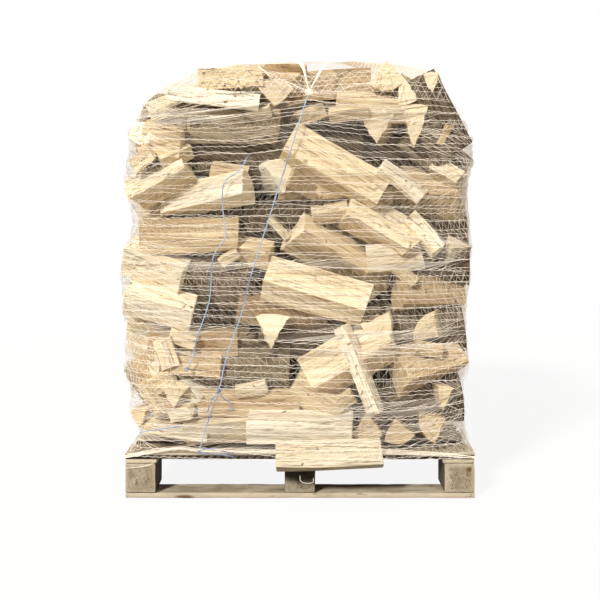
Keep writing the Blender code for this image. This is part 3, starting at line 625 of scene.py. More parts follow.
def fill_side(name, seed, thick, tries, count):
    """Logs that fill a side, each the one of a number of guesses that covers the bare spots best."""
    random = Random(seed)
    side = SIDES[name]
    out = side.axes[2]
    placed = []
    for _ in range(count):
        best = None
        for _ in range(tries):
            log, turn, place = guess(random, name, thick)
            corners = log_corners(log) @ np.array(turn).T + place
            rest = out * side.rest(corners)
            corners = corners + rest
            if allowed(corners):
                bare, outline = side.cover(corners)
                gain = bare / outline ** 0.7
                if bare > LEAST_COVER and (best is None or gain > best[0]):
                    best = (gain, corners, Laid(log, turn @ log_turn(log), Vector(place + rest)))
        if best is not None:
            placed.append(best[2])
            put(best[1])
    return placed


def lay_front(logs):
    """Lays logs of the front, deepest first."""
    placed = []
    for log in logs:
        place = lean_front(log)
        put(log_corners(log) + place)
        placed.append(Laid(log, log_turn(log), Vector(place)))
    return placed


def lay_load():
    """Every log of the outer layer by group: the heap's front, sides, back and top, and the front's own."""
    ends = PALLET_SIDE / 2
    ring = ((-ends, 0), (ends, 0), (ends, DECK_TOP), (-ends, DECK_TOP))
    pallet = [(x, y, z) for y in (-ends, ends) for x, z in ring]
    SIDES["front"].add(np.array(pallet))
    groups = {name: [] for name in SIDES}
    groups["front"] += lay_front(HEAP_FRONT)
    for name, seed, thick, tries, count in HEAP_FILL:
        groups[name] += fill_side(name, seed, thick, tries, count)
    groups["own"] = lay_front(FRONT_LOGS)
    return groups


LOAD = {}


def load():
    """The laid logs by group, worked out once."""
    if not LOAD:
        LOAD.update(lay_load())
    return LOAD


LOG_FINISHES = []


def log_finishes():
    """The finishes of a log, in the order of its kinds of surface, made once."""
    if not LOG_FINISHES:
        sizes = settings("firewood_logs")
        LOG_FINISHES.extend((split_wood(sizes), sawn_end(sizes), bark(sizes)))
    return LOG_FINISHES


# ---------------------------------------------------------------- sizes and colours

def shade(name, description, default):
    """A colour that a user can change."""
    return bpy.props.FloatVectorProperty(
        name=name, description=description, default=default, subtype="COLOR", size=3, min=0, max=1
    )


def amount(name, description, default, **kind):
    """A plain number that a user can change."""
    return bpy.props.FloatProperty(name=name, description=description, default=default, **kind)


def measure(name, description, default):
    """A length that a user can change."""
    return amount(name, description, default, unit="LENGTH", precision=4)


class FirewoodLogs(bpy.types.PropertyGroup):
    """Split logs."""

    pale: shade("Pale wood", "Freshly split sapwood", (0.93, 0.86, 0.70))
    cream: shade("Cream wood", "Split wood of most faces", (0.85, 0.70, 0.45))
    tan: shade("Tan wood", "Darker split wood", (0.60, 0.42, 0.235))
    heart: shade("Heartwood", "Reddish streaks in the split faces", (0.50, 0.30, 0.15))
    fibre: shade("Dark fibre", "Thin dark lines along the grain", (0.26, 0.17, 0.10))
    bark: shade("Bark", "Ridges of the bark", (0.46, 0.36, 0.24))
    furrow: shade("Furrows", "Furrows of the bark", (0.115, 0.068, 0.042))
    lichen: shade("Lichen", "Grey green bloom on the bark", (0.37, 0.325, 0.20))
    rind: shade("Inner bark", "Rim between wood and bark", (0.25, 0.145, 0.075))
    wave: measure("Wave", "Depth of the waves of a split face", 0.0042)
    furrow_depth: measure("Furrow depth", "Depth of the furrows of the bark", 0.0016)
    rim: measure("Rim", "Wear along the sawn and split edges", 0.0012)


class FirewoodPallet(bpy.types.PropertyGroup):
    """Pallet."""

    wood: shade("Board", "Sawn softwood of the pallet", (0.60, 0.48, 0.32))
    weathered: shade("Weathered", "Greyed and trodden wood", (0.33, 0.265, 0.18))
    knot: shade("Knots", "Knots in the boards", (0.20, 0.115, 0.055))
    # This grime colour is also that of the painted shadow along the deck's lower edge.
    grime_and_shadow: shade("Grime", "Ground-in dirt and damp", (0.13, 0.095, 0.06))
    bleached: shade("Bleached", "Wood worn pale along the edges", (0.72, 0.62, 0.47))
    steel: shade("Nails", "Dull nail heads", (0.30, 0.28, 0.26))
    wear: measure("Edge wear", "Rounding of the edges of the boards", 0.0022)
    nail: measure("Nail", "Width of a nail head", 0.0070)


class FirewoodNet(bpy.types.PropertyGroup):
    """Pallet net."""

    strand: shade("Strand", "White plastic of the net", (0.96, 0.89, 0.77))
    chain: measure("Chain", "Width of the knitted rows of the net", 0.0012)
    thread: measure("Thread", "Width of the threads between the rows", 0.0012)
    row: measure("Row", "Height between two rows", 0.022)
    stitch: measure("Stitch", "Length of a stitch along a row", 0.0115)


class FirewoodTwine(bpy.types.PropertyGroup):
    """Baling twine."""

    light: shade("Light blue", "Faded blue of the twine", (0.42, 0.56, 0.80))
    dark: shade("Dark blue", "Blue in the lay of the twine", (0.16, 0.24, 0.42))
    width: measure("Twine", "Width of the twine", 0.0032)


class FirewoodStage(bpy.types.PropertyGroup):
    """Floor and lights."""

    floor: shade("Floor", "Pale plain floor", (0.92, 0.92, 0.92))
    bounce: shade("Bounce", "Light that the floor throws back on the logs", (0.22, 0.19, 0.15))
    reach: measure("Reach", "Half width of the floor", 40.0)
    key: amount("Key", "Strength of the main lamp", 3.6)
    softness: amount("Softness", "Angle of the main lamp in degrees", 9.0)
    fill: amount("Fill", "Strength of the light from all around", 0.40)
    sky: shade("Sky", "Tint of the light from all around", (1.0, 0.93, 0.82))


# ---------------------------------------------------------------- finishes

def operator(operation):
    """A method that joins a value and something else by a Math node."""
    return lambda self, other: self.math(operation, self, other)


def swapped_operator(operation):
    """The same with the value second."""
    return lambda self, other: self.math(operation, other, self)


class Value:
    """A number that varies over a surface. Expressions on it add Math nodes."""

    def __init__(self, finish, socket):
        self.finish = finish
        self.socket = socket

    def math(self, operation, *operands, clamp=False):
        settings = {"operation": operation, "use_clamp": clamp}
        return self.finish.node("ShaderNodeMath", settings, dict(enumerate(operands))).value("Value")

    __add__ = operator("ADD")
    __radd__ = swapped_operator("ADD")
    __sub__ = operator("SUBTRACT")
    __rsub__ = swapped_operator("SUBTRACT")
    __mul__ = operator("MULTIPLY")
    __rmul__ = swapped_operator("MULTIPLY")
    __truediv__ = operator("DIVIDE")

    def __abs__(self):
        return self.math("ABSOLUTE", self)

    def root(self):
        return self.math("SQRT", self)

    def fraction(self):
        return self.math("FRACT", self)

    def clamped(self):
        return self.math("ADD", self, 0.0, clamp=True)

    def above(self, low, high):
        """0 below low, 1 above high and smooth between; the other way round where high is less than low."""
        steps = {"Value": self, "From Min": low, "From Max": high}
        if high < low:
            steps = {"Value": self, "From Min": high, "From Max": low, "To Min": 1.0, "To Max": 0.0}
        smooth_step = {"interpolation_type": "SMOOTHSTEP"}
        return self.finish.node("ShaderNodeMapRange", smooth_step, steps).value("Result")


class Made:
    """A node of a finish."""

    def __init__(self, finish, node):
        self.finish = finish
        self.node = node

    def socket(self, name):
        return next(output for output in self.node.outputs if output.name == name and output.enabled)

    def value(self, name):
        return Value(self.finish, self.socket(name))


class Grain(NamedTuple):
    """A place on a log, and the log's tone."""

    along: Value        # along the grain
    out: Value          # across it, from the pith towards the bark
    side: Value
    value: Value        # how light the log is
    warmth: Value
    chance: Value
    seed: Value
    radius: Value       # of the trunk


class Finish:
    """A material while its nodes are put together."""

    def __init__(self, name):
        self.material = bpy.data.materials.new(name)
        self.material.use_nodes = True
        self.tree = self.material.node_tree
        self.surface = self.tree.nodes["Principled BSDF"]

    def node(self, kind, settings=None, inputs=None):
        """Adds a node: first its settings, then the values and links of its sockets."""
        node = self.tree.nodes.new(kind)
        for name, value in (settings or {}).items():
            setattr(node, name, value)
        for key, value in (inputs or {}).items():
            if isinstance(key, int):
                socket = node.inputs[key]
            else:
                socket = next(entry for entry in node.inputs if entry.name == key and entry.enabled)
            self.feed(socket, value)
        return Made(self, node)

    def feed(self, socket, value):
        """Links a socket to a value, or sets it."""
        if isinstance(value, Value):
            self.tree.links.new(value.socket, socket)
        elif isinstance(value, bpy.types.NodeSocket):
            self.tree.links.new(value, socket)
        elif socket.type == "RGBA" and len(value) == 3:
            socket.default_value = (*value, 1.0)
        else:
            socket.default_value = value

    def mix(self, factor, first, second):
        """A colour between two colours."""
        settings = {"data_type": "RGBA", "clamp_factor": True}
        colours = {"Factor": factor, "A": first, "B": second}
        return self.node("ShaderNodeMix", settings, colours).socket("Result")

    def point(self, x, y, z):
        """A vector of three values."""
        return self.node("ShaderNodeCombineXYZ", None, {"X": x, "Y": y, "Z": z}).socket("Vector")

    def noise(self, vector, scale=1.0, detail=2.0, rough=0.5, bend=0.0):
        """Noise from 0 to 1 over a vector."""
        return self.texture("3D", {"Vector": vector, "Distortion": bend}, scale, detail, rough)

    def noise_along(self, value, scale=1.0, detail=2.0, rough=0.5):
        """Noise from 0 to 1 over one value."""
        return self.texture("1D", {"W": value}, scale, detail, rough)

    def texture(self, dimensions, inputs, scale, detail, rough):
        """Noise from 0 to 1 of that many dimensions."""
        inputs = {**inputs, "Scale": scale, "Detail": detail, "Roughness": rough}
        return self.node("ShaderNodeTexNoise", {"noise_dimensions": dimensions}, inputs).value("Fac")

    def stretched(self, grain, along, across, seeds=(1, 0, 0)):
        """The grain's place at a scale along it and one across it, each axis shifted by some of the seed."""
        axes = []
        for value, scale, share in zip(grain, (along, across, across), seeds):
            shift = {1: Value.__add__, -1: Value.__sub__}.get(share)
            axes.append(shift(value * scale, grain.seed) if shift else value * scale)
        return self.point(*axes)

    def streaks(self, grain, along, across, seeds=(1, 0, 0), **look):
        """Noise over the stretched grain."""
        return self.noise(self.stretched(grain, along, across, seeds), **look)

    def place(self):
        """The place in the object's own axes."""
        return self.node("ShaderNodeTexCoord").socket("Object")

    def split(self, vector):
        """The three values of a vector."""
        parts = self.node("ShaderNodeSeparateXYZ", None, {"Vector": vector})
        return [parts.value(axis) for axis in "XYZ"]

    def grain(self):
        """The grain of a log and its tone, as they are kept on its points."""
        place = self.node("ShaderNodeAttribute", {"attribute_name": "grain"}).socket("Vector")
        tone = self.node("ShaderNodeAttribute", {"attribute_name": "tone"})
        parts = self.node("ShaderNodeSeparateColor", None, {"Color": tone.socket("Color")})
        value, warmth, chance = (parts.value(name) for name in ("Red", "Green", "Blue"))
        radius = tone.value("Alpha") * RADIUS_SCALE
        return Grain(*self.split(place), value, warmth, chance, chance * SEED_SPREAD, radius)

    def scaled(self, colour, value):
        """A colour times a value."""
        inputs = {"Vector": colour, "Scale": value}
        return self.node("ShaderNodeVectorMath", {"operation": "SCALE"}, inputs).socket("Vector")

    def done(self, colour, roughness, height=None, depth=0.0, **steady):
        """The finished material, with bumps that deep in metres and its steady sockets set."""
        sockets = self.surface.inputs
        self.feed(sockets["Base Color"], colour)
        self.feed(sockets["Roughness"], roughness)
        if height is not None:
            bump = {"Strength": 1.0, "Distance": depth, "Height": height}
            self.feed(sockets["Normal"], self.node("ShaderNodeBump", None, bump).socket("Normal"))
        for name, value in steady.items():
            sockets[name.replace("_", " ")].default_value = value
        return self.material


def split_wood(sizes):
    """Split faces: straight grain, growth rings as lines along it, dark fibres, a brown rim at the bark."""
    finish = Finish("split_wood")
    grain = finish.grain()
    depth = (grain.out * grain.out + grain.side * grain.side).root()
    broad = finish.streaks(grain, 5, 16, (1, 0, 1), detail=2.0)
    drift = depth + (broad - 0.5) * 0.014
    rings = finish.noise_along(drift + grain.chance, scale=260, detail=3.0, rough=0.6)
    bands = finish.noise_along(drift + grain.chance * 3, scale=62, detail=1.0)
    fibre = finish.streaks(grain, 9, 330, detail=3.0, rough=0.6)
    hair = finish.streaks(grain, 30, 1100, (0, 1, 0), detail=1.0)
    warm = (grain.warmth + (rings - 0.5) * 0.35 + (broad - 0.5) * 0.7 + (bands - 0.5) * 0.25).clamped()
    wood = finish.mix(warm.above(0.0, 0.45), sizes.pale, sizes.cream)
    wood = finish.mix(warm.above(0.45, 1.0), wood, sizes.tan)
    patch = finish.streaks(grain, 4, 30, (-1, 0, 0), detail=3.0, rough=0.65)
    wood = finish.mix(patch.above(0.56, 0.70) * (0.15 + grain.warmth * 0.7), wood, sizes.heart)
    crack = finish.streaks(grain, 3.2, 95, (1, 1, 0), detail=2.0, rough=0.55)
    lines = abs(crack - 0.5).above(0.026, 0.0) * fibre.above(0.40, 0.58)
    wood = finish.mix(lines * 0.75, wood, sizes.fibre)
    fleck = finish.streaks(grain, 13, 170, (1, 0, 1), detail=2.0)
    wood = finish.mix(fleck.above(0.58, 0.66) * 0.65, wood, sizes.fibre)
    wood = finish.mix(fibre.above(0.58, 0.78) * 0.34, wood, sizes.fibre)
    edge = (grain.radius - depth + (fibre - 0.5) * 0.004).above(0.0042, 0.0022)
    wood = finish.mix(edge, wood, sizes.rind)
    wood = finish.scaled(wood, grain.value * (0.82 + hair * 0.18 + (1 - rings) * 0.20))
    height = fibre * 0.55 + hair * 0.25 + rings * 0.35 - lines * 0.6
    return finish.done(wood, 0.90 - rings * 0.22, height, 0.0011, Specular_IOR_Level=0.3)


def sawn_end(sizes):
    """Sawn ends: rings around the pith, checks that run out from it, saw marks and a rim of bark."""
    finish = Finish("sawn_end")
    grain = finish.grain()
    _, out, side, value, warmth, chance, seed, radius = grain
    depth = (out * out + side * side).root()
    wobble = finish.noise(finish.point(out * 22 + seed, side * 22, chance), detail=2.0)
    rings = finish.noise_along(depth + (wobble - 0.5) * 0.008 + chance, scale=300, detail=2.0)
    angle = side.math("ARCTAN2", side, out)
    rays = finish.noise_along(angle + chance * 9 + (wobble - 0.5) * 0.14, scale=6.0, detail=2.0)
    check = abs(rays - 0.5).above(0.010, 0.0)
    check = check * (depth / radius).above(0.10, 0.55) * wobble.above(0.45, 0.60)
    marks = finish.noise(finish.point(out * 40 + side * 700 + seed, chance, grain.along), detail=1.0)
    grains = finish.point(out * 260, side * 260 + seed, grain.along * 260)
    grit = finish.noise(grains, detail=3.0, rough=0.7)
    warm = (warmth * 0.8 + 0.12 + (rings - 0.5) * 1.1 + (grit - 0.5) * 0.5).clamped()
    wood = finish.mix(warm.above(0.0, 0.5), sizes.pale, sizes.cream)
    wood = finish.mix(warm.above(0.45, 1.0), wood, sizes.tan)
    wood = finish.mix(check * 0.6, wood, sizes.fibre)
    edge = (radius - depth + (grit - 0.5) * 0.004).above(0.0058, 0.0036)
    wood = finish.scaled(finish.mix(edge, wood, sizes.rind), value * (0.90 + grit * 0.16))
    return finish.done(wood, 0.92, marks * 0.5 + grit * 0.5 - check, 0.0009, Specular_IOR_Level=0.25)


def bark(sizes):
    """Bark: long furrows, flakes and a grey green bloom."""
    finish = Finish("bark")
    grain = finish.grain()
    ridges = finish.streaks(grain, 15, 88, detail=4.0, rough=0.62, bend=0.5)
    flakes = finish.streaks(grain, 70, 170, detail=3.0, rough=0.6)
    bloom = finish.streaks(grain, 11, 24, (-1, 0, 0), detail=3.0, rough=0.6)
    skin = finish.mix(ridges.above(0.34, 0.60), sizes.furrow, sizes.bark)
    skin = finish.mix(bloom.above(0.46, 0.66) * (1.1 - grain.warmth), skin, sizes.lichen)
    skin = finish.mix(flakes.above(0.60, 0.74) * 0.5, skin, sizes.rind)
    skin = finish.scaled(skin, grain.value * (0.72 + flakes * 0.5))
    return finish.done(skin, 0.95, ridges * 0.7 + flakes * 0.4, 0.0030, Specular_IOR_Level=0.2)


def pallet_wood(sizes, under):
    """Sawn softwood, trodden and greyed: knots, dirt, saw marks and a painted shadow along the lower edge of
    the deck.
    """
    finish = Finish("pallet_wood")
    height = finish.split(finish.place())[2]
    grain = finish.grain()
    sway = finish.streaks(grain, 3, 6, detail=2.0)
    drift = grain.out + grain.side * 0.4 + (sway - 0.5) * 0.030
    rings = finish.noise_along(drift + grain.chance, scale=190, detail=3.0, rough=0.6)
    fibre = finish.streaks(grain, 10, 350, detail=3.0, rough=0.6)
    dirt = finish.streaks(grain, 9, 18, detail=4.0, rough=0.65)
    specks = finish.streaks(grain, 34, 150, detail=2.0)
    saw = finish.streaks(grain, 420, 12, detail=1.0)
    cells = {"Vector": finish.stretched(grain, 3.1, 13), "Scale": 1.0, "Randomness": 1.0}
    eye = finish.node("ShaderNodeTexVoronoi", None, cells).value("Distance")
    streak = finish.streaks(grain, 6, 60, (-1, 0, 0), detail=4.0, rough=0.7)
    split = abs(sway + streak * 0.3 - 0.65).above(0.012, 0.0) * fibre.above(0.35, 0.55)
    # Painted shadow: a dark band at the height of the deck's underside, on every part of the pallet, mixed
    # towards the grime colour and dimmed.
    edge = abs(height - under - DECK_EDGE_SHADOW / 2).above(DECK_EDGE_SHADOW, DECK_EDGE_SHADOW / 2)
    wood = finish.mix((rings * 1.5 + fibre * 0.6 - 0.60).clamped(), sizes.wood, sizes.weathered)
    for factor, colour in (
        (dirt.above(0.55, 0.40) * 0.55, sizes.bleached),
        (dirt.above(0.50, 0.70) * 0.80, sizes.weathered),
        (streak.above(0.54, 0.68) * 0.75, sizes.grime_and_shadow),
        (split * 0.85, sizes.grime_and_shadow),
        (grain.warmth * (0.45 + dirt), sizes.bleached),
        (eye.above(0.13, 0.07), sizes.knot),
        (specks.above(0.64, 0.74) * 0.6, sizes.grime_and_shadow),
        (edge, sizes.grime_and_shadow),
    ):
        wood = finish.mix(factor, wood, colour)
    wood = finish.scaled(wood, grain.value * (0.80 + fibre * 0.38) * (1.0 - edge * 0.65))
    return finish.done(wood, 0.88, fibre * 0.5 + rings * 0.4 + saw * 0.25, 0.0010, Specular_IOR_Level=0.25)


def nail_steel(sizes):
    """Dull, slightly rusty nail heads."""
    finish = Finish("nail_steel")
    rust = finish.noise(finish.place(), scale=260, detail=3.0)
    colour = finish.mix(rust.above(0.45, 0.65), sizes.steel, sizes.knot)
    return finish.done(colour, 0.45 + rust * 0.4, rust, 0.0004, Metallic=0.8)


def net_strand(sizes):
    """White knitted plastic, with the bumps of its stitches, and a faint glow that is painted light."""
    finish = Finish("net_strand")
    stitches = finish.noise(finish.place(), scale=520, detail=2.0)
    soil = finish.noise(finish.place(), scale=9, detail=2.0)
    white = finish.scaled(finish.scaled(tuple(sizes.strand), 0.90 + soil * 0.10), 0.88 + stitches * 0.2)
    # Painted light: the strands glow a little, standing in for light that shines through the thin plastic.
    glow = {"Emission_Color": (1, 0.88, 0.75, 1), "Emission_Strength": 0.40}
    return finish.done(white, 0.42 + stitches * 0.2, stitches, 0.0006, Specular_IOR_Level=0.45, **glow)


def blue_twine(sizes):
    """Faded blue twine, with the lay of its strands going round it."""
    finish = Finish("blue_twine")
    round_about, length, _ = finish.split(finish.node("ShaderNodeUVMap").socket("UV"))
    groove = abs((length + round_about * 3).fraction() - 0.5).above(0.30, 0.50)
    fade = finish.noise(finish.place(), scale=26, detail=3.0)
    blue = finish.mix(groove * 0.8 + fade.above(0.5, 0.8) * 0.3, sizes.light, sizes.dark)
    return finish.done(blue, 0.50 + fade * 0.2, 1.0 - groove, 0.0006, Specular_IOR_Level=0.4)


def knot_twine(sizes):
    """Twine of the knots and tails, pulled tight and dark with dirt."""
    finish = Finish("knot_twine")
    fuzz = finish.noise(finish.place(), scale=700, detail=2.0)
    dirt = finish.noise(finish.place(), scale=60, detail=3.0)
    blue = finish.mix(dirt.above(0.35, 0.65), sizes.light, sizes.dark)
    return finish.done(blue, 0.6 + fuzz * 0.2, fuzz, 0.0006)


# ---------------------------------------------------------------- making and keeping pieces

def settings(name):
    """The sizes and colours of one group of pieces."""
    return getattr(bpy.context.scene, name)


def piece(name, mesh, finishes, nodes=()):
    """A finished piece of the object, which rides on the root body and stands for those nodes."""
    made = bpy.data.objects.new(name, mesh)
    bpy.context.scene.collection.objects.link(made)
    for finish in finishes:
        mesh.materials.append(finish)
    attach(made, "root")
    if nodes:
        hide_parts(*nodes)
    return made


def smooth(mesh, sharp_above=36.0):
    """Smooth shading, apart from edges sharper than that many degrees."""
    mesh.shade_smooth()
    mesh.set_sharp_from_angle(angle=math.radians(sharp_above))


def as_mesh(name, bm):
    """The mesh of a bmesh."""
    mesh = bpy.data.meshes.new(name)
    bm.to_mesh(mesh)
    bm.free()
    return mesh


def tubes(name, lines, width, sides=3, closed=False):
    """A mesh of round tubes of that width along lines of points."""
    ring = bpy.data.curves.new("ring", "CURVE")
    ring.dimensions = "2D"
    ring.fill_mode = "NONE"
    outline = ring.splines.new("POLY")
    outline.points.add(sides - 1)
    for index, point in enumerate(outline.points):
        turn = math.tau * index / sides
        point.co = (width / 2 * math.cos(turn), width / 2 * math.sin(turn), 0, 1)
    outline.use_cyclic_u = True
    ring_object = bpy.data.objects.new("ring", ring)
    curve = bpy.data.curves.new(name, "CURVE")
    curve.dimensions = "3D"
    curve.fill_mode = "FULL"
    curve.use_fill_caps = True
    for line in lines:
        spline = curve.splines.new("POLY")
        spline.points.add(len(line) - 1)
        spline.points.foreach_set("co", np.c_[np.array(line), np.ones(len(line))].ravel())
        spline.points.foreach_set("radius", np.ones(len(line)))
        spline.use_cyclic_u = closed
        spline.use_smooth = True
    curve.bevel_mode = "OBJECT"
    curve.bevel_object = ring_object
    holder = bpy.data.objects.new(name, curve)
    scene = bpy.context.scene.collection
    scene.objects.link(ring_object)
    scene.objects.link(holder)
    bpy.context.view_layer.update()
    mesh = bpy.data.meshes.new_from_object(holder.evaluated_get(bpy.context.evaluated_depsgraph_get()))
    for made, data in ((holder, curve), (ring_object, ring)):
        bpy.data.objects.remove(made)
        bpy.data.curves.remove(data)
    mesh.name = name
    mesh.materials.clear()
    return mesh


def along_points(route, step):
    """Points a step apart along a smooth line through a route's points."""
    route = [Vector(point) for point in route]
    ends = [route[0] * 2 - route[1]] + route + [route[-1] * 2 - route[-2]]
    points = [route[0]]
    for before, start, end, after in zip(ends, ends[1:], ends[2:], ends[3:]):
        parts = max(1, round((end - start).length / step))
        for part in range(1, parts + 1):
            t = part / parts
            points.append(
                start * (2 - 5 * t ** 2 + 3 * t ** 3) / 2
                + before * (-t + 2 * t ** 2 - t ** 3) / 2
                + end * (t + 4 * t ** 2 - 3 * t ** 3) / 2
                + after * (-t ** 2 + t ** 3) / 2
            )
    return points


# ---------------------------------------------------------------- logs

class Detail(NamedTuple):
    """How finely a log is modelled."""

    rings: int          # faces from the pith to the bark
    arc: float          # degrees of bark to a face
    pitch: float        # length of a face along the log


FINE = Detail(8, 9.0, 0.011)
PLAIN = Detail(5, 15.0, 0.022)
BURIED = Detail(1, 45.0, 0.300)


def bevelled(bm, edges, width, segments):
    """Rounds edges."""
    bmesh.ops.bevel(
        bm, geom=edges, offset=width, offset_type="OFFSET", affect="EDGES", segments=segments, profile=0.5,
        material=-1,
    )


def log_lattice(log, detail, rim):
    """A sector of a trunk in the log's own axes, with the pith at the origin of its section."""
    bm = bmesh.new()
    half = math.radians(log.opening) / 2
    start = -log.length / 2
    spoke = []
    for ring in range(detail.rings + 1):
        depth = log.radius * ring / detail.rings
        spoke.append(bm.verts.new((start, depth * math.cos(half), -depth * math.sin(half))))
    edges = [bm.edges.new(pair) for pair in zip(spoke, spoke[1:])]
    steps = max(2, round(log.opening / detail.arc))
    bmesh.ops.spin(bm, geom=spoke + edges, cent=(start, 0, 0), axis=(1, 0, 0), angle=2 * half, steps=steps)
    bmesh.ops.remove_doubles(bm, verts=bm.verts[:], dist=WELD)
    far = bmesh.ops.extrude_face_region(bm, geom=bm.faces[:])["geom"]
    far = [part for part in far if isinstance(part, bmesh.types.BMVert)]
    bmesh.ops.translate(bm, verts=far, vec=(log.length, 0, 0))
    bmesh.ops.recalc_face_normals(bm, faces=bm.faces[:])
    if rim:
        rims = [edge for edge in bm.edges if edge.calc_face_angle() > SHARP]
        bevelled(bm, rims, rim, segments=1)
    cuts = round(log.length / detail.pitch) - 1
    if cuts > 0:
        long = [edge for edge in bm.edges if abs(edge.verts[0].co.x - edge.verts[1].co.x) > log.length / 2]
        bmesh.ops.subdivide_edges(bm, edges=long, cuts=cuts, use_grid_fill=True)
    return bm


def paint_log(bm, log, tone, barked):
    """Gives a log its materials: split faces, sawn ends and any bark. Grain and tone go on its points."""
    grain = bm.verts.layers.float_vector.new("grain")
    toned = bm.verts.layers.float_color.new("tone")
    if not barked:
        tone = [*tone[:3], tone[3] + DEBARKED]
    for vert in bm.verts:
        vert[grain] = vert.co
        vert[toned] = tone
    half = math.radians(log.opening) / 2
    for face in bm.faces:
        middle = face.calc_center_median()
        turn = math.atan2(middle.z, middle.y)
        outward = face.normal.y * math.cos(turn) + face.normal.z * math.sin(turn)
        if abs(face.normal.x) > 0.7:
            face.material_index = SAWN
        elif barked and outward > 0.6 and math.hypot(middle.y, middle.z) > log.radius * math.cos(half / 3):
            face.material_index = BARK
        else:
            face.material_index = SPLIT


def weather_log(bm, log, random, wave, furrow):
    """Turns a plain sector into timber: waves along the grain, furrowed bark, a bow, a twist and saw cuts."""
    _, middle = section(log.radius, log.opening)
    half = math.radians(log.opening) / 2

    def either_way(most):
        return random.uniform(-1, 1) * most

    seed = random.uniform(0, 500)
    twist = either_way(TWIST)
    bow, sway = either_way(BOW), either_way(BOW)
    cuts = [(either_way(SLANT), either_way(SLANT)) for _ in range(2)]
    kinks = [(random.uniform(*KINK_PLACES), either_way(KINK), either_way(KINK_RUN)) for _ in range(2)]
    wave = wave * min(1.0, log.radius / FULL_WAVE)
    for vert in bm.verts:
        x, y, z = vert.co
        depth = math.hypot(y, z)
        turn = math.atan2(z, y) / half if depth > WELD else 0.0
        rim = min(1.0, depth / log.radius)
        for sign in (-1, 1):
            share = max(0.0, min(1.0, 0.5 + 0.75 * sign * turn))
            swell = noise.noise(Vector((x * 5, depth * 17 + seed, sign * 7.3)))
            ridge = noise.noise(Vector((x * 2.1 + seed, depth * 62, sign * 3.1)))
            crease, slope, run = kinks[(sign + 1) // 2]
            beyond = max(0.0, depth - log.radius * crease - x * run)
            push = share * (wave * (SWELL * swell + STEP * math.tanh(STEEP * ridge)) + beyond * slope)
            vert.co.y -= push * math.sin(half)
            vert.co.z += push * math.cos(half) * sign
        if rim > RIND:
            knobs = noise.noise(Vector((x * 9 + seed, y * 55, z * 55)))
            knobs += noise.noise(Vector((x * 3, y * 12 + seed, z * 12)))
            push = (rim - RIND) / (1 - RIND) * furrow * knobs
            vert.co.y += push * y / depth
            vert.co.z += push * z / depth
        t = 2 * x / log.length
        out, side = vert.co.y - middle.x, vert.co.z - middle.y
        lean = [a + (b - a) * (t + 1) / 2 for a, b in zip(*cuts)]
        size = 1 + (log.taper - 1) * (t + 1) / 2
        roll = twist * t
        vert.co.x = x + (lean[0] * out + lean[1] * side) * t
        vert.co.y = (out * math.cos(roll) - side * math.sin(roll) + bow * (t * t - BOW_LEVEL)) * size
        vert.co.z = (out * math.sin(roll) + side * math.cos(roll) + sway * (t * t - BOW_LEVEL)) * size


def bark_ahead(log):
    """Whether a heap log of the front turns its bark to the front."""
    return not log.name and log.out > 0 and abs(log.bark) <= BARK_AHEAD


def keeps_bark(log, random):
    """Whether a log has kept its bark."""
    if log.name:
        return log.name in BARKED
    return bark_ahead(log) or random.random() < BARK_SHARE


def timber(laid, detail, random, tone, sizes):
    """One log where it lies, as a bmesh with its materials."""
    bm = log_lattice(laid.log, detail, sizes.rim if detail is not BURIED else 0)
    paint_log(bm, laid.log, tone, keeps_bark(laid.log, random))
    weather_log(bm, laid.log, random, sizes.wave, sizes.furrow_depth)
    bmesh.ops.transform(bm, matrix=Matrix.Translation(laid.place) @ laid.turn.to_4x4(), verts=bm.verts[:])
    return bm


def timbers(name, laid, detail, random, tones, sizes):
    """Several logs as one mesh."""
    group = bmesh.new()
    group.verts.layers.float_vector.new("grain")
    group.verts.layers.float_color.new("tone")
    for log, tone in zip(laid, tones):
        part = as_mesh("log", timber(log, detail, random, tone, sizes))
        group.from_mesh(part)
        bpy.data.meshes.remove(part)
    mesh = as_mesh(name, group)
    smooth(mesh)
    return mesh


def tone_of(random, log, value=None, warmth=None):
    """The tone of a log: how light it is, how warm, a chance value, and its trunk's radius."""
    light = random.uniform(0.86, 1.06) if value is None else value
    warm = random.uniform(0.15, 0.75) if warmth is None else warmth
    # Painted shade: deep logs of the front are darkened and browned, those with their bark ahead a little
    # less.
    if 0 < log.out < DEEP:
        shade_of = DEEP_LIGHT + (1 - DEEP_LIGHT) * max(0.0, log.out - DEEPEST) / (DEEP - DEEPEST)
        warm = 0.7 + warm * 0.3
        if bark_ahead(log):
            shade_of, warm = 0.3 + 0.7 * shade_of, 0.4
        light = light * shade_of
    return [light, warm, random.random(), log.radius / RADIUS_SCALE]


def stack_inner_logs(random):
    """Short rough logs in crossed layers inside the load, where only slits of them show."""
    placed = []
    layer = 0
    height = DECK_TOP + INNER_LAYER / 2
    while height < TOP_WALL:
        crossed = layer % 2
        for row in range(INNER_ROWS):
            for place in range(INNER_LENGTHS):
                across = (row - (INNER_ROWS - 1) / 2) * INNER_SIDE * 2 / INNER_ROWS
                across += random.uniform(-0.006, 0.006)
                along = (place - (INNER_LENGTHS - 1) / 2) * INNER_SIDE * 2 / INNER_LENGTHS
                along += random.uniform(-0.012, 0.012)
                radius = random.uniform(0.085, 0.110)
                yaw = 90 * crossed + random.uniform(-7, 7)
                log = Log("", 0, 0, 0, random.uniform(0.21, 0.235), radius, random.uniform(75, 100),
                          random.uniform(0, 360), random.uniform(-5, 5), yaw)
                spot = (across, along) if crossed else (along, across)
                placed.append(Laid(log, log_turn(log), Vector((spot[0], spot[1] + INNER_BACK, height))))
        height += INNER_LAYER
        layer += 1
    return placed


def finished_logs():
    """The pieces that are logs, in the order of their names."""
    shown = [made for made in bpy.data.objects if not made.hide_render]
    return [made for made in shown if made.name.startswith(("logs_", "log_"))]


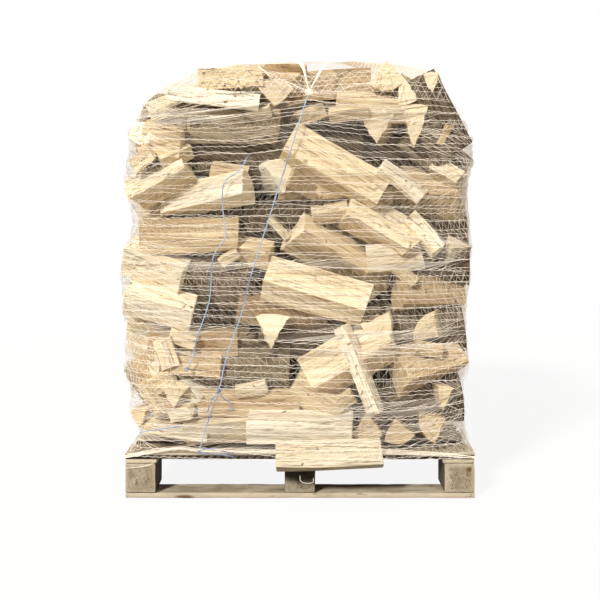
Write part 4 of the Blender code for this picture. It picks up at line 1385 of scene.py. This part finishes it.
class Spot(NamedTuple):
    """A place on the skin of a log."""

    place: Vector
    out: Vector         # away from the log
    along: Vector       # along its grain
    grain: Vector       # the place in the log's own axes
    tone: Vector        # the log's tone
    kind: int           # which of the log's materials is there
    random: Random      # for the splinter itself


def bare_spots(random, mesh, skin, count):
    """Places on the logs of a mesh that nothing lies in front of."""
    bm = bmesh.new()
    bm.from_mesh(mesh)
    bm.faces.ensure_lookup_table()
    grain = bm.verts.layers.float_vector["grain"]
    toned = bm.verts.layers.float_color["tone"]
    faces = [face for face in bm.faces if face.normal.z > UNDERSIDE and face.material_index != SAWN]
    faces.sort(key=lambda face: face.calc_center_median().dot(FACE_ORDER))
    chosen = random.choices(faces, weights=[face.calc_area() for face in faces], k=count)
    spots = []
    for face in chosen:
        own = Random(random.random())
        corners = sorted(face.verts, key=lambda vert: vert.co.dot(FACE_ORDER))
        share = [own.random() for _ in corners]
        place = sum((vert.co * part for vert, part in zip(corners, share)), Vector()) / sum(share)
        if skin.ray_cast(place + face.normal * 0.003, face.normal, SPLINTER_ROOM)[0] is None:
            sides = [sorted(edge.verts, key=lambda vert: vert[grain].x) for edge in face.edges]
            start, end = max(sides, key=lambda ends: round(ends[1][grain].x - ends[0][grain].x, 4))
            along = end.co - start.co
            if end[grain].x - start[grain].x > along.length * 0.6:
                first, kind = corners[0], face.material_index
                out, along = face.normal.copy(), along.normalized()
                spots.append(Spot(place, out, along, first[grain].copy(), first[toned].copy(), kind, own))
    bm.free()
    return spots


def backed(skin, spot, length):
    """Whether both ends of a piece along the grain have wood close behind them."""
    for sign in (-0.5, 0.5):
        distance = skin.find_nearest(spot.place + spot.along * length * sign)[3]
        if distance > SPLINTER_GAP:
            return False
    return True


def splinter(bm, spot, length, width, turn, lift, tone, kind):
    """A thin piece of wood or bark on a log: a flat spike, turned from the grain and lifted at one end."""
    tip = width * spot.random.uniform(0.05, 0.35)
    spike = {"segments": 4, "radius1": width / 2, "radius2": tip, "depth": length}
    made = bmesh.ops.create_cone(bm, cap_ends=True, **spike)["verts"]
    along = Matrix.Rotation(turn, 3, spot.out) @ spot.along
    along = (Matrix.Rotation(lift, 3, along.cross(spot.out)) @ along).normalized()
    side = spot.out.cross(along).normalized()
    axes = Matrix((side, along.cross(side), along)).transposed()
    grain = bm.verts.layers.float_vector["grain"]
    toned = bm.verts.layers.float_color["tone"]
    for vert in made:
        vert.co.x *= spot.random.uniform(0.7, 1.3)
        vert.co.y *= spot.random.uniform(0.35, 0.6)
        vert[grain] = spot.grain + Vector((vert.co.z, 0, vert.co.x))
        vert[toned] = tone
    raised = spot.out * (width * 0.15 + abs(math.sin(lift)) * length / 2)
    bmesh.ops.transform(bm, matrix=Matrix.Translation(spot.place + raised) @ axes.to_4x4(), verts=made)
    for face in {face for vert in made for face in vert.link_faces}:
        face.material_index = kind


# ---------------------------------------------------------------- net

def load_points():
    """Points of the logs of the outer layer and of the pallet's deck, that the net is pulled over."""
    clouds = []
    for made in finished_logs():
        if made.name != "logs_inner":
            found = np.empty(len(made.data.vertices) * 3, dtype=np.float32)
            made.data.vertices.foreach_get("co", found)
            clouds.append(found.reshape(-1, 3))
    low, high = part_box("deck_board_1")
    side = PALLET_SIDE / 2
    ends = [(x, y, height) for height in (low.z, high.z) for x in (-side, side) for y in (-side, side)]
    return np.concatenate([*clouds, np.array(ends, dtype=np.float32)])


def pulled_rows(points, pitch, slope, gap, first, stitch, seed):
    """Rows of a net pulled tight round the load, from the deck up: closed ones, and those of the front."""
    turns = np.arange(NET_DIRECTIONS) * math.tau / NET_DIRECTIONS
    ways = np.c_[np.cos(turns), np.sin(turns)]
    level = points[:, 2] - points[:, :2] @ np.array(slope)
    heights = np.arange(first, NET_TOP, pitch)
    reach = np.empty((len(heights), NET_DIRECTIONS))
    for row, height in enumerate(heights):
        held = np.abs(level - height) < NET_WINDOW
        if height > NET_RIM - NET_WINDOW:
            held |= (level > height) & (points[:, 1] > FRONT_OPEN)
        near = points[held][:, :2]
        reach[row] = (near @ ways.T).max(axis=0)
    for _ in range(NET_PULLS):
        reach[1:-1] = np.maximum(reach[1:-1], (reach[2:] + reach[:-2]) / 2 - NET_SLACK)
    loops, fronts = [], []
    count = round(NET_ROUND / stitch / 2) * 2
    for row, height in enumerate(heights):
        out = reach[row] + gap
        lean = (np.roll(out, -1) - np.roll(out, 1)) / (2 * math.tau / NET_DIRECTIONS)
        corners = ways * out[:, None] + np.c_[-ways[:, 1], ways[:, 0]] * lean[:, None]
        corners = np.roll(corners, -NET_DIRECTIONS // 4, axis=0)
        closed = np.r_[corners, corners[:1]]
        if height < NET_RIM:
            run = np.r_[0, np.cumsum(np.linalg.norm(np.diff(closed, axis=0), axis=1))]
            along = np.arange(count) / count * run[-1]
            flat = np.c_[np.interp(along, run, closed[:, 0]), np.interp(along, run, closed[:, 1])]
            loops.append(hung(flat, 0, row, height + flat @ np.array(slope), seed))
        else:
            front = closed[closed[:, 1] < FRONT_OPEN]
            front = front[np.argsort(front[:, 0])]
            numbers = np.arange(math.ceil(front[0, 0] / stitch), math.floor(front[-1, 0] / stitch) + 1)
            flat = np.c_[numbers * stitch, np.interp(numbers * stitch, front[:, 0], front[:, 1])]
            fronts.append((numbers, hung(flat, numbers[0], row, height + flat @ np.array(slope), seed)))
    return loops, fronts


def hung(flat, number, row, heights, seed):
    """The points of a row at their heights, each stitch drawn up or down and the whole row wandering."""
    wander = NET_WANDER * min(1.0, 0.15 + (heights.mean() - NET_FOOT) / NET_STILL)
    sag = [
        (STITCH_PULL if (index + number) % 2 else -STITCH_PULL)
        + wander * noise.noise(Vector((x * 5, y * 5, row * 0.48 + seed)))
        + NET_RIPPLE * noise.noise(Vector((x * 38, y * 38, row * 3.7 + seed)))
        for index, (x, y) in enumerate(flat)
    ]
    return np.c_[flat, heights + sag]


def gathered(points):
    """Net points drawn in towards the knot where the net is gathered."""
    points = np.asarray(points, dtype=float)
    away = points - GATHER
    far = np.linalg.norm(away, axis=-1, keepdims=True)
    draw = np.clip(far / GATHER_REACH, 0.02, 1.0) ** GATHER_DRAW
    return GATHER + away * draw


def zigzag(lower, upper):
    """A thread that runs up and down between two rows."""
    line = lower.copy()
    line[1::2] = upper[1::2]
    return line


def front_zigzag(lower, upper):
    """The same between two rows of the front, over the stitches that both of them have."""
    _, below, above = np.intersect1d(lower[0], upper[0], return_indices=True)
    return zigzag(lower[1][below], upper[1][above])


def top_sheet(points):
    """Facets of the hull over the top of the load, as slopes and heights."""
    bm = bmesh.new()
    for point in points[points[:, 2] > NET_TOP - 0.30]:
        bm.verts.new(point)
    bm.verts.new(GATHER)
    bmesh.ops.convex_hull(bm, input=bm.verts[:])
    bm.normal_update()
    middle = sum((vert.co for vert in bm.verts), Vector()) / len(bm.verts)
    facets = []
    for face in bm.faces:
        normal = face.normal * (1 if face.normal.dot(face.calc_center_median() - middle) > 0 else -1)
        if normal.z > 0.02:
            at = face.verts[0].co
            facets.append((-normal.x / normal.z, -normal.y / normal.z, normal.dot(at) / normal.z))
    bm.free()
    return np.array(facets)


def top_net(loop, facets):
    """Threads from the highest row over the top, in two folds over the front edge and down to the knot."""
    sheet = []
    for begin in loop[::TOP_SKIP]:
        if begin[1] < FRONT_OPEN:
            continue
        throat = (THROAT_LEFT if begin[0] < 0 else THROAT_RIGHT) + (begin[0] * THROAT_SPREAD, 0, 0)
        over = begin + (throat - begin) * np.linspace(0, 1, TOP_STEPS)[:, None] ** 0.9
        down = throat + (GATHER - throat) * np.linspace(0, 1, THROAT_STEPS)[1:, None]
        line = np.concatenate([over, down])
        hull = (facets[:, 0] * line[:, :1] + facets[:, 1] * line[:, 1:2] + facets[:, 2]).min(axis=1)
        line[1:-1, 2] = hull[1:-1] + 0.0015
        sheet.append(line)
    order = sorted(range(len(sheet)), key=lambda index: math.atan2(sheet[index][0][0], sheet[index][0][1]))
    sheet = np.array([sheet[index] for index in order])
    threads = []
    for step in range(1, TOP_STEPS + THROAT_STEPS - 3):
        cross = sheet[:, step].copy()
        cross[1::2] = sheet[1::2, step + 1]
        threads.append(cross)
    return list(sheet), threads


def bundle(random, route, count, spread):
    """Strands of net drawn together along a route, wound loosely round each other."""
    middle = along_points(route, 0.006)
    lines = []
    for _ in range(count):
        phase = random.uniform(0, math.tau)
        turns = random.uniform(0.4, 1.2)
        width = spread * random.uniform(0.35, 1.0)
        line = []
        for index, point in enumerate(middle):
            t = index / (len(middle) - 1)
            turn = phase + math.tau * turns * t
            pinch = 0.35 + 0.65 * math.sin(math.pi * min(1, max(0, t))) ** 0.5
            off = Vector((0.4 * math.cos(turn), -abs(math.cos(turn)) * 0.5, math.sin(turn))) * width * pinch
            line.append(tuple(point + off))
        lines.append(line)
    return lines


def knot_line(random, centre, size, turns=3):
    """A line that winds round itself as a pulled knot."""
    line = []
    spin = Euler((random.uniform(0, 3), random.uniform(0, 3), random.uniform(0, 3))).to_matrix()
    steps = 14 * turns
    for step in range(steps + 1):
        turn = math.tau * step / 14
        swing = 0.62 + 0.38 * math.sin(turn * 1.5 + 0.4)
        point = Vector((math.cos(turn) * swing, math.sin(turn) * swing, 0.55 * math.cos(turn * 0.5)))
        line.append(tuple(Vector(centre) + spin @ point * size / 2))
    return line


# ---------------------------------------------------------------- operators

class FIREWOOD_OT_stage(bpy.types.Operator):
    """Floor, lights and camera"""

    bl_idname = "firewood.stage"
    bl_label = "Set the stage"

    def execute(self, context):
        sizes = settings("firewood_stage")
        scene = context.scene
        scene.view_settings.view_transform = "Standard"
        self.floor(scene, sizes)
        self.world(scene, sizes)
        key = bpy.data.objects.new("key", bpy.data.lights.new("key", "SUN"))
        key.data.energy = sizes.key
        key.data.angle = math.radians(sizes.softness)
        key.data.color = (1.0, 0.985, 0.955)
        key.rotation_euler = (Vector(KEY_AIM) - Vector((0, 0, 0))).to_track_quat("-Z", "Y").to_euler()
        scene.collection.objects.link(key)
        camera = bpy.data.objects.new("camera", bpy.data.cameras.new("camera"))
        camera.data.lens = CAMERA_LENS
        camera.data.sensor_width = 36
        camera.data.shift_y = CAMERA_SHIFT
        camera.location = CAMERA_PLACE
        camera.rotation_euler = (math.radians(90), 0, 0)
        scene.collection.objects.link(camera)
        scene.camera = camera
        return {"FINISHED"}

    def floor(self, scene, sizes):
        bm = bmesh.new()
        bmesh.ops.create_grid(bm, x_segments=8, y_segments=8, size=sizes.reach)
        bmesh.ops.translate(bm, verts=bm.verts[:], vec=(0, 0, -0.0005))
        made = bpy.data.objects.new("floor", as_mesh("floor", bm))
        scene.collection.objects.link(made)
        finish = Finish("floor")
        seen = finish.node("ShaderNodeLightPath")
        finish.done(finish.mix(seen.value("Is Diffuse Ray"), sizes.floor, sizes.bounce), 0.9)
        glow = finish.node("ShaderNodeEmission", None, {"Color": (1, 1, 1), "Strength": 1.0})
        x, y, _ = finish.split(finish.place())
        far = (x * x + y * y).root().above(1.2, 6.0)
        direct = seen.value("Is Camera Ray") + seen.value("Is Glossy Ray")
        direct = direct + seen.value("Is Transmission Ray")
        share = direct.clamped() * (FLOOR_GLOW + far * (1 - FLOOR_GLOW))
        blend = finish.node("ShaderNodeMixShader", None, {"Fac": share})
        output = finish.tree.nodes["Material Output"]
        finish.tree.links.new(finish.surface.outputs["BSDF"], blend.node.inputs[1])
        finish.tree.links.new(glow.socket("Emission"), blend.node.inputs[2])
        finish.tree.links.new(blend.node.outputs["Shader"], output.inputs["Surface"])
        made.data.materials.append(finish.material)

    def world(self, scene, sizes):
        world = bpy.data.worlds.new("world")
        world.use_nodes = True
        scene.world = world
        tree = world.node_tree
        back = tree.nodes["Background"]
        seen = tree.nodes.new("ShaderNodeLightPath")
        total = tree.nodes.new("ShaderNodeMath")
        total.operation = "ADD"
        every = tree.nodes.new("ShaderNodeMath")
        every.operation = "ADD"
        tree.links.new(seen.outputs["Is Camera Ray"], total.inputs[0])
        tree.links.new(seen.outputs["Is Glossy Ray"], total.inputs[1])
        tree.links.new(total.outputs[0], every.inputs[0])
        tree.links.new(seen.outputs["Is Transmission Ray"], every.inputs[1])
        spread = tree.nodes.new("ShaderNodeMapRange")
        spread.inputs["To Min"].default_value = sizes.fill
        tree.links.new(every.outputs[0], spread.inputs["Value"])
        tree.links.new(spread.outputs[0], back.inputs["Strength"])
        tint = tree.nodes.new("ShaderNodeMix")
        tint.data_type = "RGBA"
        tint.inputs["A"].default_value = (*sizes.sky, 1)
        tint.inputs["B"].default_value = (1, 1, 1, 1)
        tree.links.new(every.outputs[0], tint.inputs["Factor"])
        tree.links.new(tint.outputs["Result"], back.inputs["Color"])


class FIREWOOD_OT_twine(bpy.types.Operator):
    """The two lengths of blue twine down the front, with their knots and tails"""

    bl_idname = "firewood.twine"
    bl_label = "Tie the twine"

    def execute(self, context):
        sizes = settings("firewood_twine")
        random = Random(5)
        twine = blue_twine(sizes)
        dark = knot_twine(sizes)
        for name, route, knots, ends in (
            ("twine_long", TWINE_LONG, LONG_KNOTS, LONG_TAILS),
            ("twine_short", TWINE_SHORT, SHORT_KNOTS, SHORT_TAILS),
        ):
            path = along_points(route, 0.010)
            mesh = tubes(name + "_blue", [[tuple(point) for point in path]], sizes.width, sides=8)
            smooth(mesh, 60)
            made = piece(name + "_blue", mesh, [twine], [name])
            on_it = []
            for index, (centre, size) in enumerate(knots):
                mesh = tubes("knot", [knot_line(random, centre, size)], sizes.width * 0.9, sides=6)
                smooth(mesh, 60)
                on_it.append(piece(f"{name}_knot_{index + 1}", mesh, [dark]))
            lines = [[tuple(point) for point in along_points(tail, 0.006)] for tail in ends]
            mesh = tubes("tails", lines, sizes.width * 0.8, sides=6)
            smooth(mesh, 60)
            on_it.append(piece(name + "_tails", mesh, [dark]))
            self.declare(made, path, sizes.width, on_it)
        for name, route in DARK_TWINE.items():
            path = along_points(route, 0.006)
            mesh = tubes(name, [[tuple(point) for point in path]], sizes.width * 0.9, sides=8)
            smooth(mesh, 60)
            self.declare(piece(name, mesh, [dark]), path, sizes.width * 0.9, [])
        return {"FINISHED"}

    def declare(self, made, path, width, on_it):
        """Works out the length of a piece of twine along its path, which nothing then uses."""
        length = sum((after - before).length for before, after in zip(path, path[1:]))


class FIREWOOD_OT_front_logs(bpy.types.Operator):
    """The split logs that show from the front, each a piece of its own"""

    bl_idname = "firewood.front_logs"
    bl_label = "Split the front logs"

    def execute(self, context):
        sizes = settings("firewood_logs")
        random = Random(71)
        finishes = log_finishes()
        for laid in load()["own"]:
            name = laid.log.name
            tone = tone_of(random, laid.log, *TONES[name])
            mesh = timbers(name + "_timber", [laid], FINE, random, [tone], sizes)
            piece(name + "_timber", mesh, finishes, [name])
        return {"FINISHED"}


class FIREWOOD_OT_heap(bpy.types.Operator):
    """The rest of the load: logs of the front, the sides, the back and the top, and the logs inside"""

    bl_idname = "firewood.heap"
    bl_label = "Stack the heap"

    def execute(self, context):
        sizes = settings("firewood_logs")
        random = Random(29)
        finishes = log_finishes()
        for group in ("front", "left", "right", "back", "top"):
            laid = load()[group]
            tones = [tone_of(random, entry.log) for entry in laid]
            mesh = timbers("logs_" + group, laid, PLAIN, random, tones, sizes)
            piece("logs_" + group, mesh, finishes, ["log_pile"])
        short = Random(61)
        laid = [Laid(log, log_turn(log), Vector(lean_front(log))) for log in OFFCUTS]
        tones = [tone_of(short, entry.log) for entry in laid]
        mesh = timbers("logs_offcuts", laid, PLAIN, short, tones, sizes)
        piece("logs_offcuts", mesh, finishes)
        inner = stack_inner_logs(random)
        # Painted shade: the logs inside are given a dark brown tone.
        tones = [tone_of(random, entry.log, value=0.48, warmth=1.0) for entry in inner]
        mesh = timbers("logs_inner", inner, BURIED, random, tones, sizes)
        piece("logs_inner", mesh, finishes, ["log_pile"])
        return {"FINISHED"}


class FIREWOOD_OT_splinters(bpy.types.Operator):
    """Splinters that lift from the split faces, and chips of wood and bark that lie on the logs"""

    bl_idname = "firewood.splinters"
    bl_label = "Scatter the splinters"

    def execute(self, context):
        random = Random(47)
        logs = finished_logs()
        corners, faces = [], []
        for made in logs:
            base = len(corners)
            corners += [vert.co.copy() for vert in made.data.vertices]
            faces += [[base + index for index in face.vertices] for face in made.data.polygons]
        skin = BVHTree.FromPolygons(corners, faces)
        bm = bmesh.new()
        bm.verts.layers.float_vector.new("grain")
        bm.verts.layers.float_color.new("tone")
        for made in logs:
            if made.name == "logs_inner":
                continue
            count = SPLINTERS.get(made.name, SPLINTERS["log"])
            for spot in bare_spots(random, made.data, skin, count):
                own = spot.random
                light, warm = spot.tone[0] * own.uniform(0.82, 1.06), spot.tone[1] + own.uniform(-0.2, 0.3)
                tone = (light, min(1.0, max(0.0, warm)), own.random(), 1.0)
                length, width = own.uniform(*SLIVER_LENGTHS), own.uniform(*SLIVER_WIDTHS)
                if own.random() < SLIVER_SHARE and spot.kind == SPLIT:
                    if backed(skin, spot, length):
                        turn, lift = own.gauss(0, 0.10), own.uniform(0.0, 0.11)
                        splinter(bm, spot, length, width, turn, lift, tone, SPLIT)
                elif backed(skin, spot, length * 0.3):
                    kind = BARK if own.random() < 0.5 else spot.kind
                    turn = own.uniform(0, math.pi)
                    splinter(bm, spot, length * CHIP_LENGTH, width * CHIP_WIDTH, turn, 0.0, tone, kind)
        mesh = as_mesh("wood_splinters", bm)
        smooth(mesh, 40)
        piece("wood_splinters", mesh, log_finishes())
        return {"FINISHED"}


class FIREWOOD_OT_pallet(bpy.types.Operator):
    """Boards, stringers and blocks of the pallet, and its nails"""

    bl_idname = "firewood.pallet"
    bl_label = "Nail the pallet"

    def execute(self, context):
        sizes = settings("firewood_pallet")
        random = Random(83)
        finish = pallet_wood(sizes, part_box("deck_board_1")[0].z)
        for node in sorted(node for node in frame["nodes"] if node.startswith(PALLET_PARTS)):
            piece(node + "_wood", self.sawn(node, random, sizes), [finish], [node])
        mesh = self.nails(random, sizes)
        piece("pallet_nails", mesh, [nail_steel(sizes)])
        return {"FINISHED"}

    def sawn(self, node, random, sizes):
        """A board, stringer or block, worn along its edges, with its grain on its points."""
        low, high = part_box(node)
        size = high - low
        middle = (low + high) / 2
        bm = bmesh.new()
        bmesh.ops.create_cube(bm, size=1.0)
        bmesh.ops.scale(bm, vec=size, verts=bm.verts[:])
        bevelled(bm, bm.edges[:], sizes.wear, segments=2)
        along = max(range(3), key=lambda axis: size[axis])
        for axis in range(3):
            cuts = int(size[axis] / (BOARD_PITCH if axis == along else BOARD_PITCH / 2))
            long = [
                edge for edge in bm.edges
                if abs(edge.verts[0].co[axis] - edge.verts[1].co[axis]) > size[axis] / 2
            ]
            if cuts > 1:
                bmesh.ops.subdivide_edges(bm, edges=long, cuts=cuts, use_grid_fill=True)
        grain = bm.verts.layers.float_vector.new("grain")
        toned = bm.verts.layers.float_color.new("tone")
        seed = random.uniform(0, 300)
        light, chance = random.uniform(0.88, 1.08), random.random()
        block = node.startswith("block")
        shadowed = block and abs(middle.x) < size.x
        if block and not shadowed:
            light *= OUTER_BLOCK
        order = [along] + [axis for axis in (0, 1, 2) if axis != along]
        half = size / 2
        for vert in bm.verts:
            place = vert.co.copy()
            vert[grain] = [place[axis] for axis in order]
            edges = sum(abs(place[axis]) > half[axis] - sizes.wear * 1.2 for axis in range(3))
            # Painted shade on the sides of the blocks that face each other, where the light doesn't reach.
            inwards = (middle.x + place.x) * middle.x <= middle.x * middle.x
            inside = block and inwards and abs(place.x) > half.x - 0.001
            shade = BLOCK_SIDE_SHADE if inside else 1.0
            # Painted shadow: the middle blocks are painted darker, most of all at their top, where the
            # hanging log's shadow falls, with a slanting edge.
            if shadowed:
                rise = min(1.0, max(0.0, (place.z + place.x * 0.15) / size.z * 5 + 1.35))
                shade *= MIDDLE_BLOCK_SHADE + (MIDDLE_TOP_SHADOW - MIDDLE_BLOCK_SHADE) * rise
            vert[toned] = (light * shade, 0.6 if edges > 1 else 0.0, chance, 1)
            dent = noise.noise(Vector((place.x * 30, place.y * 30 + seed, place.z * 30)))
            swell = noise.noise(Vector((place.x * 7 + seed, place.y * 7, place.z * 7)))
            lost = 0.0006 + 0.0006 * swell + (0.0020 * max(0.0, dent) if edges > 1 else 0.0004 * dent)
            for axis in range(3):
                vert.co[axis] -= math.copysign(lost, place[axis]) * (abs(place[axis]) / half[axis]) ** 4
        bmesh.ops.translate(bm, verts=bm.verts[:], vec=middle)
        mesh = as_mesh(node + "_wood", bm)
        smooth(mesh, 40)
        return mesh

    def nails(self, random, sizes):
        """Two nails of each deck board over each stringer."""
        bm = bmesh.new()
        spots = []
        boards = sorted(node for node in frame["nodes"] if node.startswith("deck_board"))
        stringers = sorted(node for node in frame["nodes"] if node.startswith("stringer"))
        for board in boards:
            low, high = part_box(board)
            for stringer in stringers:
                inner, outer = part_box(stringer)
                for share in (0.3, 0.7):
                    if high.x - low.x > high.y - low.y:
                        spot = ((inner.x + outer.x) / 2, low.y + (high.y - low.y) * share)
                    else:
                        spot = (low.x + (high.x - low.x) * share, (inner.y + outer.y) / 2)
                    spots.append((*spot, high.z))
        for x, y, z in spots:
            head = {"segments": 8, "radius1": sizes.nail / 2, "radius2": sizes.nail * 0.42, "depth": 0.0014}
            made = bmesh.ops.create_cone(bm, cap_ends=True, **head)["verts"]
            spot = (x + random.uniform(-0.008, 0.008), y + random.uniform(-0.006, 0.006), z - 0.0004)
            bmesh.ops.translate(bm, verts=made, vec=spot)
        mesh = as_mesh("pallet_nails", bm)
        smooth(mesh, 30)
        return mesh


class FIREWOOD_OT_net(bpy.types.Operator):
    """The knitted net around the load, gathered to a knot at the top and bunched along the deck"""

    bl_idname = "firewood.net"
    bl_label = "Wrap the net"

    def execute(self, context):
        sizes = settings("firewood_net")
        random = Random(17)
        self.finish = [net_strand(sizes)]
        points = load_points()
        facets = top_sheet(points)
        for name, pitch, slope, gap, first, stitch in (
            ("inner", sizes.row, (0.012, 0.0), 0.0020, NET_FOOT, sizes.stitch),
            ("outer", sizes.row * 1.6, (-0.030, 0.010), 0.0042, NET_FOOT + 0.012, sizes.stitch * 1.7),
        ):
            seed = random.uniform(0, 50)
            loops, fronts = pulled_rows(points, pitch, slope, gap, first, stitch, seed)
            loops = [gathered(loop) for loop in loops]
            fronts = [(numbers, gathered(front)) for numbers, front in fronts]
            threads = [zigzag(*pair) for pair in zip(loops, loops[1:])]
            crown = [front_zigzag(*pair) for pair in zip(fronts, fronts[1:])]
            self.strands("rows_" + name, loops, sizes.chain, closed=True)
            self.strands("threads_" + name, threads, sizes.thread, closed=True)
            self.strands("crown_rows_" + name, [front for _, front in fronts], sizes.chain)
            self.strands("crown_threads_" + name, crown, sizes.thread)
            if name == "inner":
                rows, threads = top_net(loops[-1], facets)
                self.strands("top_rows", rows, sizes.thread * 1.3)
                self.strands("top_threads", threads, sizes.thread)
        folds = []
        for route, count, spread in NET_BUNCHES:
            folds += bundle(random, route, count, spread)
        self.strands("bunches", folds, sizes.chain * 0.75)
        loose = [[tuple(point) for point in along_points(route, 0.004)] for route in NET_ENDS]
        self.strands("ends", loose, sizes.thread * 1.3)
        knot = [knot_line(random, GATHER + np.array((0, -0.006, 0)), 0.020, turns=5) for _ in range(3)]
        smooth(self.strands("knot", knot, sizes.chain * 1.3, sides=6), 60)
        return {"FINISHED"}

    def strands(self, name, lines, width, **shape):
        """A piece of the net: strands along lines. Gives its mesh."""
        mesh = tubes("net_" + name, lines, width, **shape)
        piece("net_" + name, mesh, self.finish, ["net"])
        return mesh


OPERATORS = (
    FIREWOOD_OT_stage,
    FIREWOOD_OT_twine,
    FIREWOOD_OT_front_logs,
    FIREWOOD_OT_heap,
    FIREWOOD_OT_splinters,
    FIREWOOD_OT_pallet,
    FIREWOOD_OT_net,
)


class FIREWOOD_PT_panel(bpy.types.Panel):
    """The pieces of the pallet of firewood"""

    bl_idname = "FIREWOOD_PT_panel"
    bl_label = "Pallet of firewood"
    bl_space_type = "VIEW_3D"
    bl_region_type = "UI"
    bl_category = "Firewood"

    def draw(self, context):
        for operator in OPERATORS:
            self.layout.operator(operator.bl_idname)
        for name, group in GROUPS.items():
            box = self.layout.box()
            box.label(text=group.__doc__)
            for entry in group.__annotations__:
                box.prop(getattr(context.scene, name), entry)


GROUPS = {
    "firewood_stage": FirewoodStage,
    "firewood_twine": FirewoodTwine,
    "firewood_logs": FirewoodLogs,
    "firewood_pallet": FirewoodPallet,
    "firewood_net": FirewoodNet,
}


def register():
    for name, group in GROUPS.items():
        bpy.utils.register_class(group)
        setattr(bpy.types.Scene, name, bpy.props.PointerProperty(type=group))
    for entry in (*OPERATORS, FIREWOOD_PT_panel):
        bpy.utils.register_class(entry)


def unregister():
    for entry in (FIREWOOD_PT_panel, *reversed(OPERATORS)):
        bpy.utils.unregister_class(entry)
    for name, group in reversed(GROUPS.items()):
        delattr(bpy.types.Scene, name)
        bpy.utils.unregister_class(group)


def main():
    register()
    bpy.ops.firewood.stage()
    bpy.ops.firewood.twine()
    bpy.ops.firewood.front_logs()
    bpy.ops.firewood.heap()
    bpy.ops.firewood.splinters()
    bpy.ops.firewood.pallet()
    bpy.ops.firewood.net()


if __name__ == "__main__":
    main()
